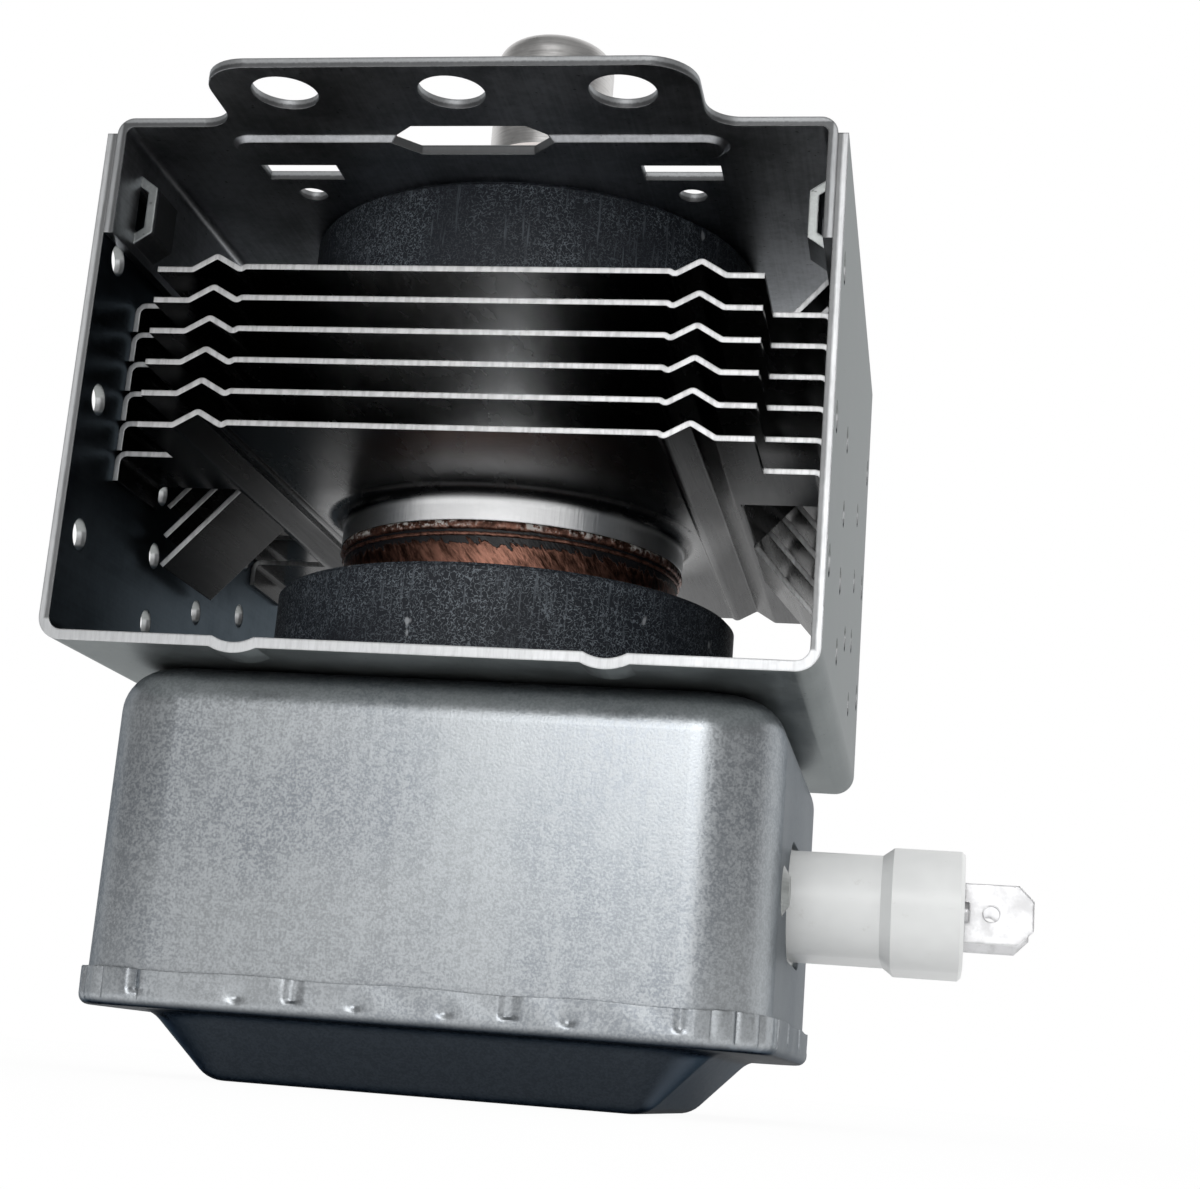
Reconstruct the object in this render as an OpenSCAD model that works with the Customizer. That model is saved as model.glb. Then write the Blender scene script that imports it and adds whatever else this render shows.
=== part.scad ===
// Microwave-oven magnetron: a vacuum tube between two ring magnets in a folded steel yoke, with pressed
// cooling fins round the anode and a filter box on the cathode end. The origin is the centre of the
// mounting flange's outer face, +Z runs along the antenna and the air flows along Y.

/* [Yoke bracket] */
// Width of the yoke over its side walls
yoke_w = 80; // [76:0.5:86]
// Depth of the yoke along the air flow
yoke_d = 80; // [76:0.5:84]
// Height from the bracket's underside to the flange's outer face
yoke_h = 58; // [56:0.5:62]
// Thickness of the bracket's sheet
bracket_t = 1.1; // [0.8:0.1:1.6]
// Outer radius of the bracket's bends
bracket_bend_r = 2.5; // [2:0.1:4]
// How far the side walls stop below the flange's outer face
wall_top_drop = 1.8; // [1.2:0.1:3]
// Diameter of the holes punched near the walls' edges
edge_hole_d = 3.4; // [2:0.1:4]
// Diameter of the holes punched behind the fins' side strips
strip_hole_d = 3; // [2:0.1:4]
// Width of the dimples pressed into the floor's edges
dimple_w = 4.4; // [3:0.1:6]
// Depth of those dimples
dimple_h = 0.6; // [0.3:0.1:1]

/* [Flange plate] */
// Thickness of the flange plate
plate_t = 1; // [0.8:0.1:1.4]
// Outer radius of the plate's bends
plate_bend_r = 1.8; // [1.5:0.1:3]
// Height of the legs that lie inside the bracket's walls
leg_h = 13.3; // [12.5:0.1:15]
// Distance between the two rows of mounting holes
hole_row_pitch = 95; // [92:0.5:98]
// Distance between neighbouring holes of a row
hole_pitch = 17.7; // [15:0.1:18.5]
// Diameter of the mounting holes
hole_d = 7; // [4:0.1:8]
// Width of the mounting tabs
tab_w = 51; // [48:0.5:56]
// From the mounting holes' centres to the tab's edge
tab_edge = 5.5; // [4.5:0.1:8]
// Radius of the tabs' outer corners
tab_corner_r = 5; // [2:0.1:7]
// Radius where the tabs meet the plate's edge
tab_root_r = 3.5; // [2:0.1:5]
// Length of the pointed slot at the middle of the plate's edge
key_slot_w = 17.8; // [12:0.1:22]
// Depth of that slot
key_slot_d = 5.4; // [3:0.1:6]
// Length of the stiffening beads
bead_w = 54.6; // [44:0.1:60]
// Height of the stiffening beads
bead_h = 0.6; // [0.3:0.1:0.8]
// Height of the clinch bridges over the leg's face
bridge_rise = 2; // [1.5:0.1:3]

/* [Magnets] */
// Outer diameter of the ring magnets
magnet_d = 54; // [50:0.5:56]
// Height of a ring magnet
magnet_h = 12; // [11:0.5:13]
// Chamfer on the magnets' edges
magnet_chamfer = 0.5; // [0.2:0.1:1]

/* [Tube] */
// Outer diameter of the anode cylinder
anode_d = 39.8; // [38:0.1:40.4]
// Wall of the anode cylinder
anode_wall = 3.1; // [2:0.1:4]
// Height of the vanes
vane_h = 9.5; // [8:0.1:10.5]
// Thickness of a vane
vane_t = 1.9; // [1.4:0.1:2.2]
// Diameter of the space between the vane tips
vane_bore_d = 9; // [8.4:0.1:10]
// Thickness of the pole pieces
pole_t = 1.6; // [1.2:0.1:2]
// Outer diameter of the seal cups' necks
neck_d = 19.6; // [18.5:0.1:21]
// Sheet of the seal cups
seal_t = 0.5; // [0.3:0.1:0.8]

/* [Cathode] */
// Mean diameter of the filament's turns
filament_d = 3.9; // [3.4:0.1:4.4]
// Diameter of the filament's wire
filament_wire_d = 0.5; // [0.3:0.1:0.6]
// Diameter of the end hats
hat_d = 7; // [6:0.1:8]
// Diameter of the cathode's leads
lead_d = 1.5; // [1:0.1:1.8]
// Diameter of the stem ceramic
stem_d = 16.6; // [15.8:0.1:19]
// Height of the stem ceramic
stem_h = 10.5; // [8:0.5:12]

/* [Antenna] */
// Height of the antenna's tip over the flange
antenna_h = 28.7; // [26:0.1:32]
// Outer diameter of the antenna cap
cap_d = 14.8; // [13.8:0.1:15.2]
// Sheet of the antenna cap
cap_t = 0.5; // [0.3:0.1:0.8]
// Outer diameter of the antenna ceramic
ceramic_d = 15.6; // [15.4:0.1:17]
// Wall of the antenna ceramic
ceramic_wall = 1.8; // [1.2:0.1:2.2]
// Height of the antenna ceramic
ceramic_h = 9; // [7:0.5:10]
// Height of the seal cup's neck over the flange
neck_rise = 4; // [3.5:0.1:6]
// Radial width of the knitted gasket
gasket_w = 3.4; // [2.5:0.1:4.5]
// Height of the knitted gasket
gasket_h = 3; // [2.6:0.1:3.4]

/* [Fins] */
// Thickness of a fin
fin_t = 0.6; // [0.4:0.05:0.8]
// Distance from one fin to the next
fin_pitch = 3.46; // [3.3:0.02:3.6]
// From the anode's upper end down to the first fin
fin_drop = 3.5; // [3:0.1:4.5]
// Thickness of the drawn collars
collar_t = 0.45; // [0.3:0.05:0.6]
// Radius of the turn from plate to collar
collar_bend_r = 2.6; // [2.2:0.1:2.8]
// Height of the pressed ridge over the fin's plate
ridge_h = 1.15; // [0.6:0.05:1.4]
// Depth of the fin's ends under its plate
ridge_foot = 0.4; // [0.2:0.05:0.6]
// Angle of the louvers to the fin's plate
louver_angle = 48; // [40:1:52]
// How far the flanges hang down along the walls
wall_flange_h = 3.1; // [2:0.05:3.1]

/* [Filter box] */
// Width of the filter box
box_w = 72; // [70:0.5:76]
// Depth of the filter box
box_d = 64.4; // [62:0.1:70]
// Height of the filter box
box_h = 35.2; // [33:0.1:40]
// Sheet of the filter box
box_t = 0.6; // [0.4:0.1:1]
// Radius of the box's upright corners
box_corner_r = 9; // [8:0.5:12]
// Radius of the box's upper edge
box_edge_r = 4.8; // [3:0.1:6]

/* [Filter lid] */
// Sheet of the lid
lid_t = 0.6; // [0.4:0.1:1]
// Height of the hem that is folded up over the box
hem_h = 3.3; // [2.5:0.1:6]
// Width of the slits in the hem
slit_w = 1.5; // [0.8:0.1:2.5]
// Width of the narrow slits beside the hem's corners
nick_w = 0.7; // [0.4:0.1:1.5]
// Width of the lid's pan
pan_w = 60; // [50:0.1:62]
// Depth of the lid's pan along the air flow
pan_d = 56; // [50:0.1:57]
// How far the pan hangs under the box
pan_h = 7.3; // [5:0.1:9]
// Slope of the pan's walls, from upright
pan_slope = 45; // [20:1:48]

/* [Terminals] */
// From the bracket's underside down to the terminals' axis
terminal_drop = 18.9; // [17:0.1:21]
// Distance between the two tabs
terminal_pitch = 14; // [13.5:0.1:16]
// Diameter of the insulator's neck
insulator_neck_d = 11.2; // [10:0.1:12]
// Diameter of the insulator's head
insulator_head_d = 13; // [12:0.1:14]
// From the box's wall to the insulator's head
insulator_neck_l = 11; // [8:0.5:14]
// Length of the insulator's head
insulator_head_l = 7.6; // [6:0.1:10]
// Width of a tab
blade_w = 6.35; // [4.8:0.05:6.4]
// Thickness of a tab
blade_t = 0.8; // [0.5:0.1:1]
// Length of a tab
blade_l = 7.4; // [6:0.1:9]
// Diameter of the hole in a tab
blade_hole_d = 1.7; // [1:0.1:2]

/* [Filter parts] */
// Diameter of the choke cores
core_d = 5; // [4:0.1:6]
// Length of the choke cores
core_l = 23; // [20:0.5:26]
// Diameter of the choke wire
choke_wire_d = 1.3; // [1:0.1:1.4]
// Thickness of the capacitor's ground plate
ground_t = 0.8; // [0.5:0.1:1.2]
// Length of the capacitor's inner case
capacitor_l = 12.6; // [10:0.1:14]
// Diameter of the rivets
rivet_d = 3; // [2:0.1:3.4]

/* [Hidden] */
$fn = 64;
// Overrun of a cut past the face it opens
cut = 0.5;
// Radial room in a brazed or pushed-in joint
fit_gap = 0.03;
// Overlap of two stretches of one sheet
lap = 0.5;
// Straight pieces in a rounded bend
bend_steps = 3;

// Levels, from the flange down
upper_magnet_z = -plate_t - magnet_h;
anode_top = upper_magnet_z - seal_t;
floor_z = -yoke_h + bracket_t;
lower_magnet_z = floor_z;
anode_bottom = lower_magnet_z + magnet_h + seal_t;
anode_h = anode_top - anode_bottom;
anode_mid = (anode_top + anode_bottom) / 2;
box_top = -yoke_h;
box_bottom = box_top - box_h;
terminal_z = box_top - terminal_drop;

// Yoke
wall_in = yoke_w / 2 - bracket_t;
wall_h = yoke_h - wall_top_drop;
leg_mid = wall_in - plate_t / 2;
neck_r = neck_d / 2;
neck_room = 0.6;
plate_room = 0.3;
bracket_hole_r = neck_r + neck_room;
plate_hole_r = neck_r + plate_room;
edge_hole_in = 4.5;
edge_hole_y = yoke_d / 2 - edge_hole_in;
edge_hole_heights = [12.3, 27.3, 43.3];
strip_hole_y = 15;
strip_hole_heights = [7.5, 15.4, 23, 31.5];
centre_hole_height = 12.3;
dimple_x = 19;
dimple_l = 5;
dimple_r = (pow(dimple_w / 2, 2) + pow(dimple_h, 2)) / (2 * dimple_h);
key_slot_point = 2.7;
bead_in = 4.5;
bead_y = yoke_d / 2 - bead_in;
bead_wide = 5;
slot_size = [8.7, 3.6];
slot_x = 21.5;
slot_in = 11.2;
slot_at = [slot_x, yoke_d / 2 - slot_in];
pin_hole_d = 3.2;
pin_hole_x = 22;
pin_hole_in = 17;
pin_hole_at = [pin_hole_x, yoke_d / 2 - pin_hole_in];
bridge_w = 6;
bridge_in = 8.5;
bridge_y = yoke_d / 2 - bridge_in;
bridge_top = 4.5;
bridge_lip = 1.3;
bridge_bottom = leg_h - bridge_lip;
bridge_slope = 1.4;

// Magnets and tube
magnet_bore_r = neck_r + neck_room;
anode_r = anode_d / 2;
anode_bore_r = anode_r - anode_wall;
pole_seat_r = anode_r - anode_wall / 2;
pole_rim_in = pole_seat_r - 3.6;
pole_flat_r = vane_bore_d / 2 + 4;
pole_hole_r = vane_bore_d / 2 + 0.2;
pole_gap = 1.6;
pole_flat_drop = anode_h / 2 - vane_h / 2 - pole_gap - pole_t / 2;
vane_count = 10;
strap_h = 1.3;
strap_w = 0.8;
strap_inner_r = vane_bore_d / 2 + 1.5;
strap_outer_r = strap_inner_r + 1.8;
strap_room = 0.15;
strap_clear = 0.8;
seal_bend_r = 0.8;
seal_low = box_top - box_t - 2.9;

// Cathode
filament_h = vane_h + 0.2;
filament_turns = 8;
hat_h = 1.2;
hat_boss_h = 1;
hat_boss_r = filament_d / 2 - filament_wire_d / 2 - 0.1;
side_lead_y = lead_d + 1.2;
lead_room = 0.45;
stem_low = seal_low - stem_h;
stem_plate_t = 0.8;
stem_plate_w = 5.2;
stem_plate_reach = 7;
stem_plate_gap = 0.8;
lead_low = stem_low - stem_plate_t - 0.4;
stem_weld_y = 5.2;

// Antenna
ceramic_r = ceramic_d / 2;
ceramic_top = neck_rise + ceramic_h;
cap_r = cap_d / 2;
cap_round = 2.4;
exhaust_r = 3.2;
exhaust_wall = 0.7;
exhaust_flange_t = 0.6;
exhaust_flange_r = cap_r - cap_t - 0.05;
exhaust_top = antenna_h - cap_t - 1.5;
pinch_h = 4;
antenna_lead_r = 0.9;
antenna_lead_x = strap_outer_r + strap_w + 2.9;
antenna_lead_room = 1.3;
antenna_lead_top = ceramic_top + (exhaust_top - ceramic_top) / 3;
// Where the lead runs from its vane through the pole piece to the exhaust tube
antenna_route = [[antenna_lead_x, 0, anode_mid + vane_h / 2], [antenna_lead_x, 0, anode_top - 5.5],
    [antenna_lead_x - 0.6, 0, anode_top - 4], [antenna_lead_x - 2.2, 0, anode_top - 2.2],
    [antenna_lead_x / 2, 0, anode_top], [antenna_lead_x / 4, 0, anode_top + 3.5], [0.6, 0, anode_top + 7.5],
    [0, 0, anode_top + 11], [0, 0, neck_rise], [0, 0, antenna_lead_top]];
gasket_round = 1;

// Fins
fin_side_gap = 0.2;
fin_d = yoke_d - 2 * fin_side_gap;
bore_r = anode_r + fit_gap;
collar_lap = 0.05;
collar_margin = 0.07;
fin_flat = bore_r + collar_bend_r + collar_margin;
ridge_dip = 0.35;
ridge_dip_run = 0.5;
ridge_peak_run = 3.2;
ridge_foot_run = 5.8;
fin_end_run = 9.7;
ridge_dip_x = fin_flat + ridge_dip_run;
ridge_peak_x = fin_flat + ridge_peak_run;
ridge_foot_x = fin_flat + ridge_foot_run;
fin_end_x = fin_flat + fin_end_run;
ridge_bend_r = 0.5;
louver_root_run = 0.5;
louver_tip_gap = 0.6;
louver_root_x = ridge_foot_x + louver_root_run;
louver_tip_x = wall_in - plate_t - louver_tip_gap;
louver_rise = (louver_tip_x - louver_root_x) * tan(louver_angle);
louver_gap = 0.8;
louver_end = 16.5;
wall_strip_gap = 1;
wall_strip_in = 10.8;
wall_strip_from = louver_end + wall_strip_gap;
wall_strip_to = yoke_d / 2 - wall_strip_in;
wall_bend_r = 0.9;
collar_room = 0.1;
funnel_in = collar_bend_r - collar_t - collar_room;
collar_nest = collar_bend_r - sqrt(pow(collar_bend_r, 2) - pow(funnel_in, 2));
collar_low = fin_t / 2 - fin_pitch - collar_nest;
collar_fillet = collar_bend_r - fin_t;

// Filter box and lid
clinch_in = [9, 11.2];
clinch_at = [box_w / 2 - clinch_in[0], box_d / 2 - clinch_in[1]];
clinch_r = 2.5;
clinch_wall = 0.5;
clinch_head = [3.5, 0.5];
insulator_room = 0.9;
hem_gap = 0.05;
hem_bend_r = lid_t + hem_gap;
slit_low = 1;
lid_w = box_w + 2 * (hem_gap + lid_t);
lid_d = box_d + 2 * (hem_gap + lid_t);
lid_corner_r = box_corner_r + hem_gap + lid_t;
pan_bend_r = 3.4;
pan_foot_r = 2.3;
pan_run = (pan_h - lid_t) * tan(pan_slope);
pan_corner_r = pan_run + pan_foot_r;
slit_x = 11;
slit_in = 8.2;
side_slit_y = 9;
side_slit_lap = 1;
slit_ws = [slit_w, nick_w];
slit_at = [slit_x, box_w / 2 - slit_in];
side_slit_at = [side_slit_y, box_d / 2 - box_corner_r + side_slit_lap];
hem_dent_at = [4.6, 16.9];
hem_dent_r = 1;
hem_dent_depth = 0.35;

// Capacitor and terminals
wall_x = box_w / 2;
ground_x = wall_x - box_t - ground_t;
ground_gap = 0.2;
ground_h = 17;
ground_size = [box_d - 2 * box_corner_r - 2 * ground_gap, ground_h];
conductor_d = 2.4;
conductor_room = 0.05;
ground_hole_r = conductor_d / 2 + 1.8;
capacitor_r = 6.2;
conductor_tail = 4;
conductor_x = ground_x - capacitor_l - conductor_tail;
insulator_taper = 1.2;
insulator_edge = 0.4;
insulator_end = wall_x + insulator_neck_l + insulator_head_l;
blade_tip = 1.6;
blade_hole_x = 2.9;
rivet_in = 4;
rivet_y = ground_size[0] / 2 - rivet_in;
rivet_head_r = rivet_d / 2 + 1.1;
rivet_head_h = 0.7;

// Chokes
choke_y = 16;
coil_room = 0.2;
coil_r = core_d / 2 + coil_room + choke_wire_d / 2;
coil_turns = 11.75;
coil_pitch = choke_wire_d + 0.4;
coil_x = -24;
core_x = coil_x - 1.5;
coil_end_x = coil_x + coil_turns * coil_pitch;
coil_steps = 10;
// Where the wire runs from the stem to the coil
choke_start = [[0, -stem_weld_y, stem_low - stem_plate_t], [0, -stem_weld_y, stem_low - 3],
    [-2, -5.6, terminal_z - 0.6], [-8, -6.5, terminal_z - 2.6], [-19, -8, terminal_z - 3.6],
    [coil_x, -10.5, terminal_z - 4], [coil_x - 0.8, coil_r - choke_y + 0.2, terminal_z - 2.2]];
// Where the wire runs from the coil to the capacitor
choke_end = [[coil_end_x + 1, -13, terminal_z - coil_r], [3, -10, terminal_z - 2.4],
    [8, -terminal_pitch / 2 - 0.6, terminal_z - 0.8], [12, -terminal_pitch / 2, terminal_z],
    [conductor_x, -terminal_pitch / 2, terminal_z]];

// Unit vector along v
function unit(v) = v / norm(v);

// Points of the round turn at b on the way from a to c
function turn_points(a, b, c, r) =
    let (u = unit(a - b), v = unit(c - b), half = acos(u * v) / 2)
    let (centre = b + unit(u + v) * r / sin(half), run = r / tan(half))
    let (from = b + u * run - centre, to = b + v * run - centre)
    [for (k = [0 : bend_steps]) centre + r * unit(from * (1 - k / bend_steps) + to * k / bend_steps)];

// A path with a round turn at each inner point
function bent_path(p, r) =
    [p[0], for (i = [1 : len(p) - 2]) each turn_points(p[i - 1], p[i], p[i + 1], r), p[len(p) - 1]];

// Mitred sideways step of a path at point i
function side_step(p, i) =
    let (a = i == 0 ? unit(p[1] - p[0]) : unit(p[i] - p[i - 1]))
    let (b = i == len(p) - 1 ? a : unit(p[i + 1] - p[i]))
    let (n = unit([-a[1] - b[1], a[0] + b[0]]))
    n / (n * [-a[1], a[0]]);

// Outline of a sheet of thickness t along a path
function sheet_outline(p, t) = concat(
    [for (i = [0 : len(p) - 1]) p[i] + side_step(p, i) * t / 2],
    [for (i = [len(p) - 1 : -1 : 0]) p[i] - side_step(p, i) * t / 2]);

// Direction of a space path at point i
function heading(p, i) = unit(p[min(i + 1, len(p) - 1)] - p[max(i - 1, 0)]);

// A direction square to h
function square_to(h) = unit(cross(h, abs(h[2]) < 0.9 ? [0, 0, 1] : [1, 0, 0]));

// Directions square to a space path, carried along it without twist
function carried_sides(p) =
    [for (i = 0, n = square_to(heading(p, 0)); i < len(p);
        i = i + 1, n = unit(n - heading(p, i) * (n * heading(p, i)))) n];

// A round wire of radius r along a space path
module wire(p, r, sides) {
    n = carried_sides(p);
    points = [for (i = [0 : len(p) - 1], k = [0 : sides - 1])
        p[i] + r * (cos(360 * k / sides) * n[i] + sin(360 * k / sides) * cross(heading(p, i), n[i]))];
    skin = [for (i = [0 : len(p) - 2], k = [0 : sides - 1])
        let (a = i * sides + k, b = i * sides + (k + 1) % sides)
        [a, a + sides, b + sides, b]];
    first = [for (k = [0 : sides - 1]) k];
    last = [for (k = [sides - 1 : -1 : 0]) (len(p) - 1) * sides + k];
    polyhedron(points, concat([first], skin, [last]));
}

// A section in X and Z carried along Y
module along_y(length) {
    rotate([90, 0, 0])
        linear_extrude(height = length, center = true)
            children();
}

// A section carried round the corners and sides of a rounded rectangle, drawn outwards from the corner centre
module round_the_rim(w, d, r) {
    for (turn = [0, 180])
        rotate(turn) {
            translate([w / 2 - r, d / 2 - r, 0])
                rotate_extrude(angle = 90)
                    children();
            translate([w / 2 - r, 0, 0])
                along_y(d - 2 * r)
                    children();
            rotate(90)
                translate([d / 2 - r, w / 2 - r, 0])
                    rotate_extrude(angle = 90)
                        children();
            rotate(90)
                translate([d / 2 - r, 0, 0])
                    along_y(w - 2 * r)
                        children();
        }
}

// A flat sheet between the corner centres of a rounded rectangle
module rim_floor(w, d, r, t) {
    translate([-w / 2 + r - lap, -d / 2 + r - lap, 0])
        cube([w - 2 * r + 2 * lap, d - 2 * r + 2 * lap, t]);
}

// Area under a rounded edge: r wide, h high, edge radius e
module edge_area(r, h, e) {
    square([r - e, h]);
    square([r, h - e]);
    intersection() {
        translate([r - e, h - e])
            circle(r = e);
        square([r, h]);
    }
}

// Section of a drawn can's wall and edge, closed end up
module can_section(r, h, e, t) {
    difference() {
        edge_area(r, h, e);
        translate([0, -t])
            edge_area(r - t, h, e - t);
    }
}

// Trough with rounded lower corners
module trough_area(w, h, r) {
    translate([-w / 2, r])
        square([w, h - r]);
    translate([-w / 2 + r, 0])
        square([w - 2 * r, h]);
    for (side = [-1, 1])
        translate([side * (w / 2 - r), r])
            circle(r = r);
}

// Section of a sheet folded up on both sides
module trough_section(w, h, t, r) {
    difference() {
        trough_area(w, h, r);
        translate([0, t])
            trough_area(w - 2 * t, h, r - t);
    }
}

// Plain ring standing on its base
module ring(r_out, r_in, h) {
    difference() {
        cylinder(r = r_out, h = h);
        translate([0, 0, -cut])
            cylinder(r = r_in, h = h + 2 * cut);
    }
}

// Round-ended bar along Y whose radius goes from r1 to r2 over its height along X
module oval_bar(pitch, r1, r2, h) {
    for (side = [-1, 1])
        translate([0, side * pitch / 2, 0])
            rotate([0, 90, 0])
                cylinder(r1 = r1, r2 = r2, h = h);
    along_y(pitch)
        polygon([[0, -r1], [h, -r2], [h, r2], [0, r1]]);
}

// Round-ended bead along X with sloping sides, rising from its base
module bead(length, wide, high) {
    reach = (length - wide) / 2;
    for (side = [-1, 1])
        translate([side * reach, 0, 0])
            cylinder(r1 = wide / 2, r2 = wide / 2 - high, h = high);
    rotate([90, 0, 90])
        linear_extrude(height = 2 * reach, center = true)
            polygon([[-wide / 2, 0], [wide / 2, 0], [wide / 2 - high, high], [high - wide / 2, high]]);
}

// Puts a shape at the four clinches between box and bracket
module at_clinches() {
    for (x = [-1, 1], y = [-1, 1])
        translate([x * clinch_at[0], y * clinch_at[1], 0])
            children();
}

// Cuts across both side walls at a place along Y and a height over the bracket's underside
module wall_drill(y, height, d) {
    translate([0, y, -yoke_h + height])
        rotate([0, 90, 0])
            cylinder(d = d, h = yoke_w + 2 * cut, center = true);
}

// Cylinder segment that presses the floor's sheet down at its edge
module floor_dimple(r) {
    for (x = [-1, 1], end = [-1, 1])
        translate([x * dimple_x, end * (yoke_d / 2 - dimple_l / 2), floor_z - dimple_h + dimple_r])
            rotate([90, 0, 0])
                cylinder(r = r, h = dimple_l, center = true);
}

module yoke_bracket() {
    color("silver")
        difference() {
            union() {
                translate([0, 0, -yoke_h])
                    along_y(yoke_d)
                        trough_section(yoke_w, wall_h, bracket_t, bracket_bend_r);
                intersection() {
                    floor_dimple(dimple_r + bracket_t);
                    translate([-yoke_w / 2, -yoke_d / 2, -yoke_h - dimple_h])
                        cube([yoke_w, yoke_d, bracket_t / 2 + dimple_h]);
                }
            }
            floor_dimple(dimple_r);
            translate([0, 0, -yoke_h - cut])
                cylinder(r = bracket_hole_r, h = bracket_t + 2 * cut);
            at_clinches()
                translate([0, 0, -yoke_h - cut])
                    cylinder(r = clinch_r + fit_gap, h = bracket_t + 2 * cut);
            for (end = [-1, 1], height = edge_hole_heights)
                wall_drill(end * edge_hole_y, height, edge_hole_d);
            for (end = [-1, 1], height = strip_hole_heights)
                wall_drill(end * strip_hole_y, height, strip_hole_d);
            wall_drill(0, centre_hole_height, strip_hole_d);
        }
}

// Outline of one mounting tab, reaching out along +Y
module tab_area() {
    tab_end = hole_row_pitch / 2 + tab_edge;
    root_y = yoke_d / 2;
    translate([-tab_w / 2, root_y - key_slot_d])
        square([tab_w, tab_end - tab_corner_r - root_y + key_slot_d]);
    translate([-tab_w / 2 + tab_corner_r, root_y])
        square([tab_w - 2 * tab_corner_r, tab_end - root_y]);
    for (side = [-1, 1])
        translate([side * (tab_w / 2 - tab_corner_r), tab_end - tab_corner_r])
            circle(r = tab_corner_r);
    difference() {
        translate([-tab_w / 2 - tab_root_r, root_y - lap])
            square([tab_w + 2 * tab_root_r, tab_root_r + lap]);
        for (side = [-1, 1])
            translate([side * (tab_w / 2 + tab_root_r), root_y + tab_root_r])
                circle(r = tab_root_r);
    }
}

// The openings of one end of the flange plate
module tab_cuts() {
    for (i = [-1 : 1])
        translate([i * hole_pitch, hole_row_pitch / 2, -plate_t - cut])
            cylinder(d = hole_d, h = plate_t + 2 * cut);
    translate([0, yoke_d / 2 - key_slot_d / 2, -plate_t - bead_h - cut])
        linear_extrude(height = plate_t + bead_h + 2 * cut)
            polygon([[-key_slot_w / 2, 0], [key_slot_point - key_slot_w / 2, -key_slot_d / 2],
                [key_slot_w / 2 - key_slot_point, -key_slot_d / 2], [key_slot_w / 2, 0],
                [key_slot_w / 2 - key_slot_point, key_slot_d / 2],
                [key_slot_point - key_slot_w / 2, key_slot_d / 2]]);
    for (side = [-1, 1]) {
        translate([side * slot_at[0] - slot_size[0] / 2, slot_at[1] - slot_size[1] / 2, -plate_t - cut])
            cube([slot_size[0], slot_size[1], plate_t + 2 * cut]);
        translate([side * pin_hole_at[0], pin_hole_at[1], -plate_t - cut])
            cylinder(d = pin_hole_d, h = plate_t + 2 * cut);
        translate([side * leg_mid - plate_t, bridge_y - bridge_w / 2, -bridge_bottom + bridge_slope])
            cube([2 * plate_t, bridge_w, bridge_bottom - bridge_top - 2 * bridge_slope]);
    }
}

// A strip of the leg pushed inwards between two slits
module leg_bridge() {
    path = [[leg_mid, -bridge_top], [leg_mid - bridge_rise, -bridge_top - bridge_slope],
        [leg_mid - bridge_rise, -bridge_bottom + bridge_slope], [leg_mid, -bridge_bottom]];
    translate([0, bridge_y, 0])
        along_y(bridge_w)
            polygon(sheet_outline(path, plate_t));
}

module yoke_top_plate() {
    color("silver")
        union() {
            difference() {
                union() {
                    rotate([0, 180, 0])
                        along_y(yoke_d)
                            trough_section(2 * wall_in, leg_h, plate_t, plate_bend_r);
                    for (turn = [0, 180])
                        rotate(turn) {
                            translate([0, 0, -plate_t])
                                linear_extrude(height = plate_t)
                                    tab_area();
                            translate([0, bead_y, -plate_t])
                                mirror([0, 0, 1])
                                    bead(bead_w, bead_wide, bead_h);
                        }
                }
                translate([0, 0, -plate_t - cut])
                    cylinder(r = plate_hole_r, h = plate_t + 2 * cut);
                for (turn = [0, 180])
                    rotate(turn) {
                        tab_cuts();
                        translate([0, bead_y, 0])
                            mirror([0, 0, 1])
                                bead(bead_w - plate_t, bead_wide - plate_t, bead_h);
                    }
            }
            for (turn = [0, 180])
                rotate(turn)
                    for (side = [0, 1])
                        mirror([side, 0, 0])
                            leg_bridge();
        }
}

// Ferrite ring with chamfered edges
module magnet_ring() {
    r = magnet_d / 2;
    c = magnet_chamfer;
    color("darkslategray")
        rotate_extrude()
            polygon([[magnet_bore_r + c, 0], [r - c, 0], [r, c], [r, magnet_h - c], [r - c, magnet_h],
                [magnet_bore_r + c, magnet_h], [magnet_bore_r, magnet_h - c], [magnet_bore_r, c]]);
}

module upper_magnet() {
    translate([0, 0, upper_magnet_z])
        magnet_ring();
}

module lower_magnet() {
    translate([0, 0, lower_magnet_z])
        magnet_ring();
}

// Section of a fin's drawn collar with its rounded turn
module collar_section() {
    top = fin_t / 2;
    wall = bore_r + collar_t;
    difference() {
        union() {
            translate([bore_r, collar_low])
                square([collar_t, top - collar_low]);
            translate([bore_r, -top])
                square([collar_bend_r + collar_lap, fin_t]);
            translate([wall - collar_lap, -top - collar_fillet])
                square([collar_bend_r - collar_t + 2 * collar_lap, collar_fillet + collar_lap]);
        }
        difference() {
            translate([bore_r, top - collar_bend_r])
                square([collar_bend_r, collar_bend_r + cut]);
            translate([bore_r + collar_bend_r, top - collar_bend_r])
                circle(r = collar_bend_r);
        }
        translate([wall + collar_fillet, -top - collar_fillet])
            circle(r = collar_fillet);
        translate([wall + collar_fillet, -top - collar_fillet - cut])
            square([collar_bend_r, collar_fillet + cut]);
        translate([wall, -top - collar_fillet - cut])
            square([collar_fillet + collar_bend_r, cut]);
    }
}

// Right half of a fin's section: flat plate, pressed ridge and lower end
fin_half = [[fin_flat, 0], [ridge_dip_x, -ridge_dip], [ridge_peak_x, ridge_h], [ridge_foot_x, -ridge_foot],
    [fin_end_x, -ridge_foot]];
fin_path = bent_path(concat([for (i = [len(fin_half) - 1 : -1 : 0]) [-fin_half[i][0], fin_half[i][1]]],
    fin_half), ridge_bend_r);
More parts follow.
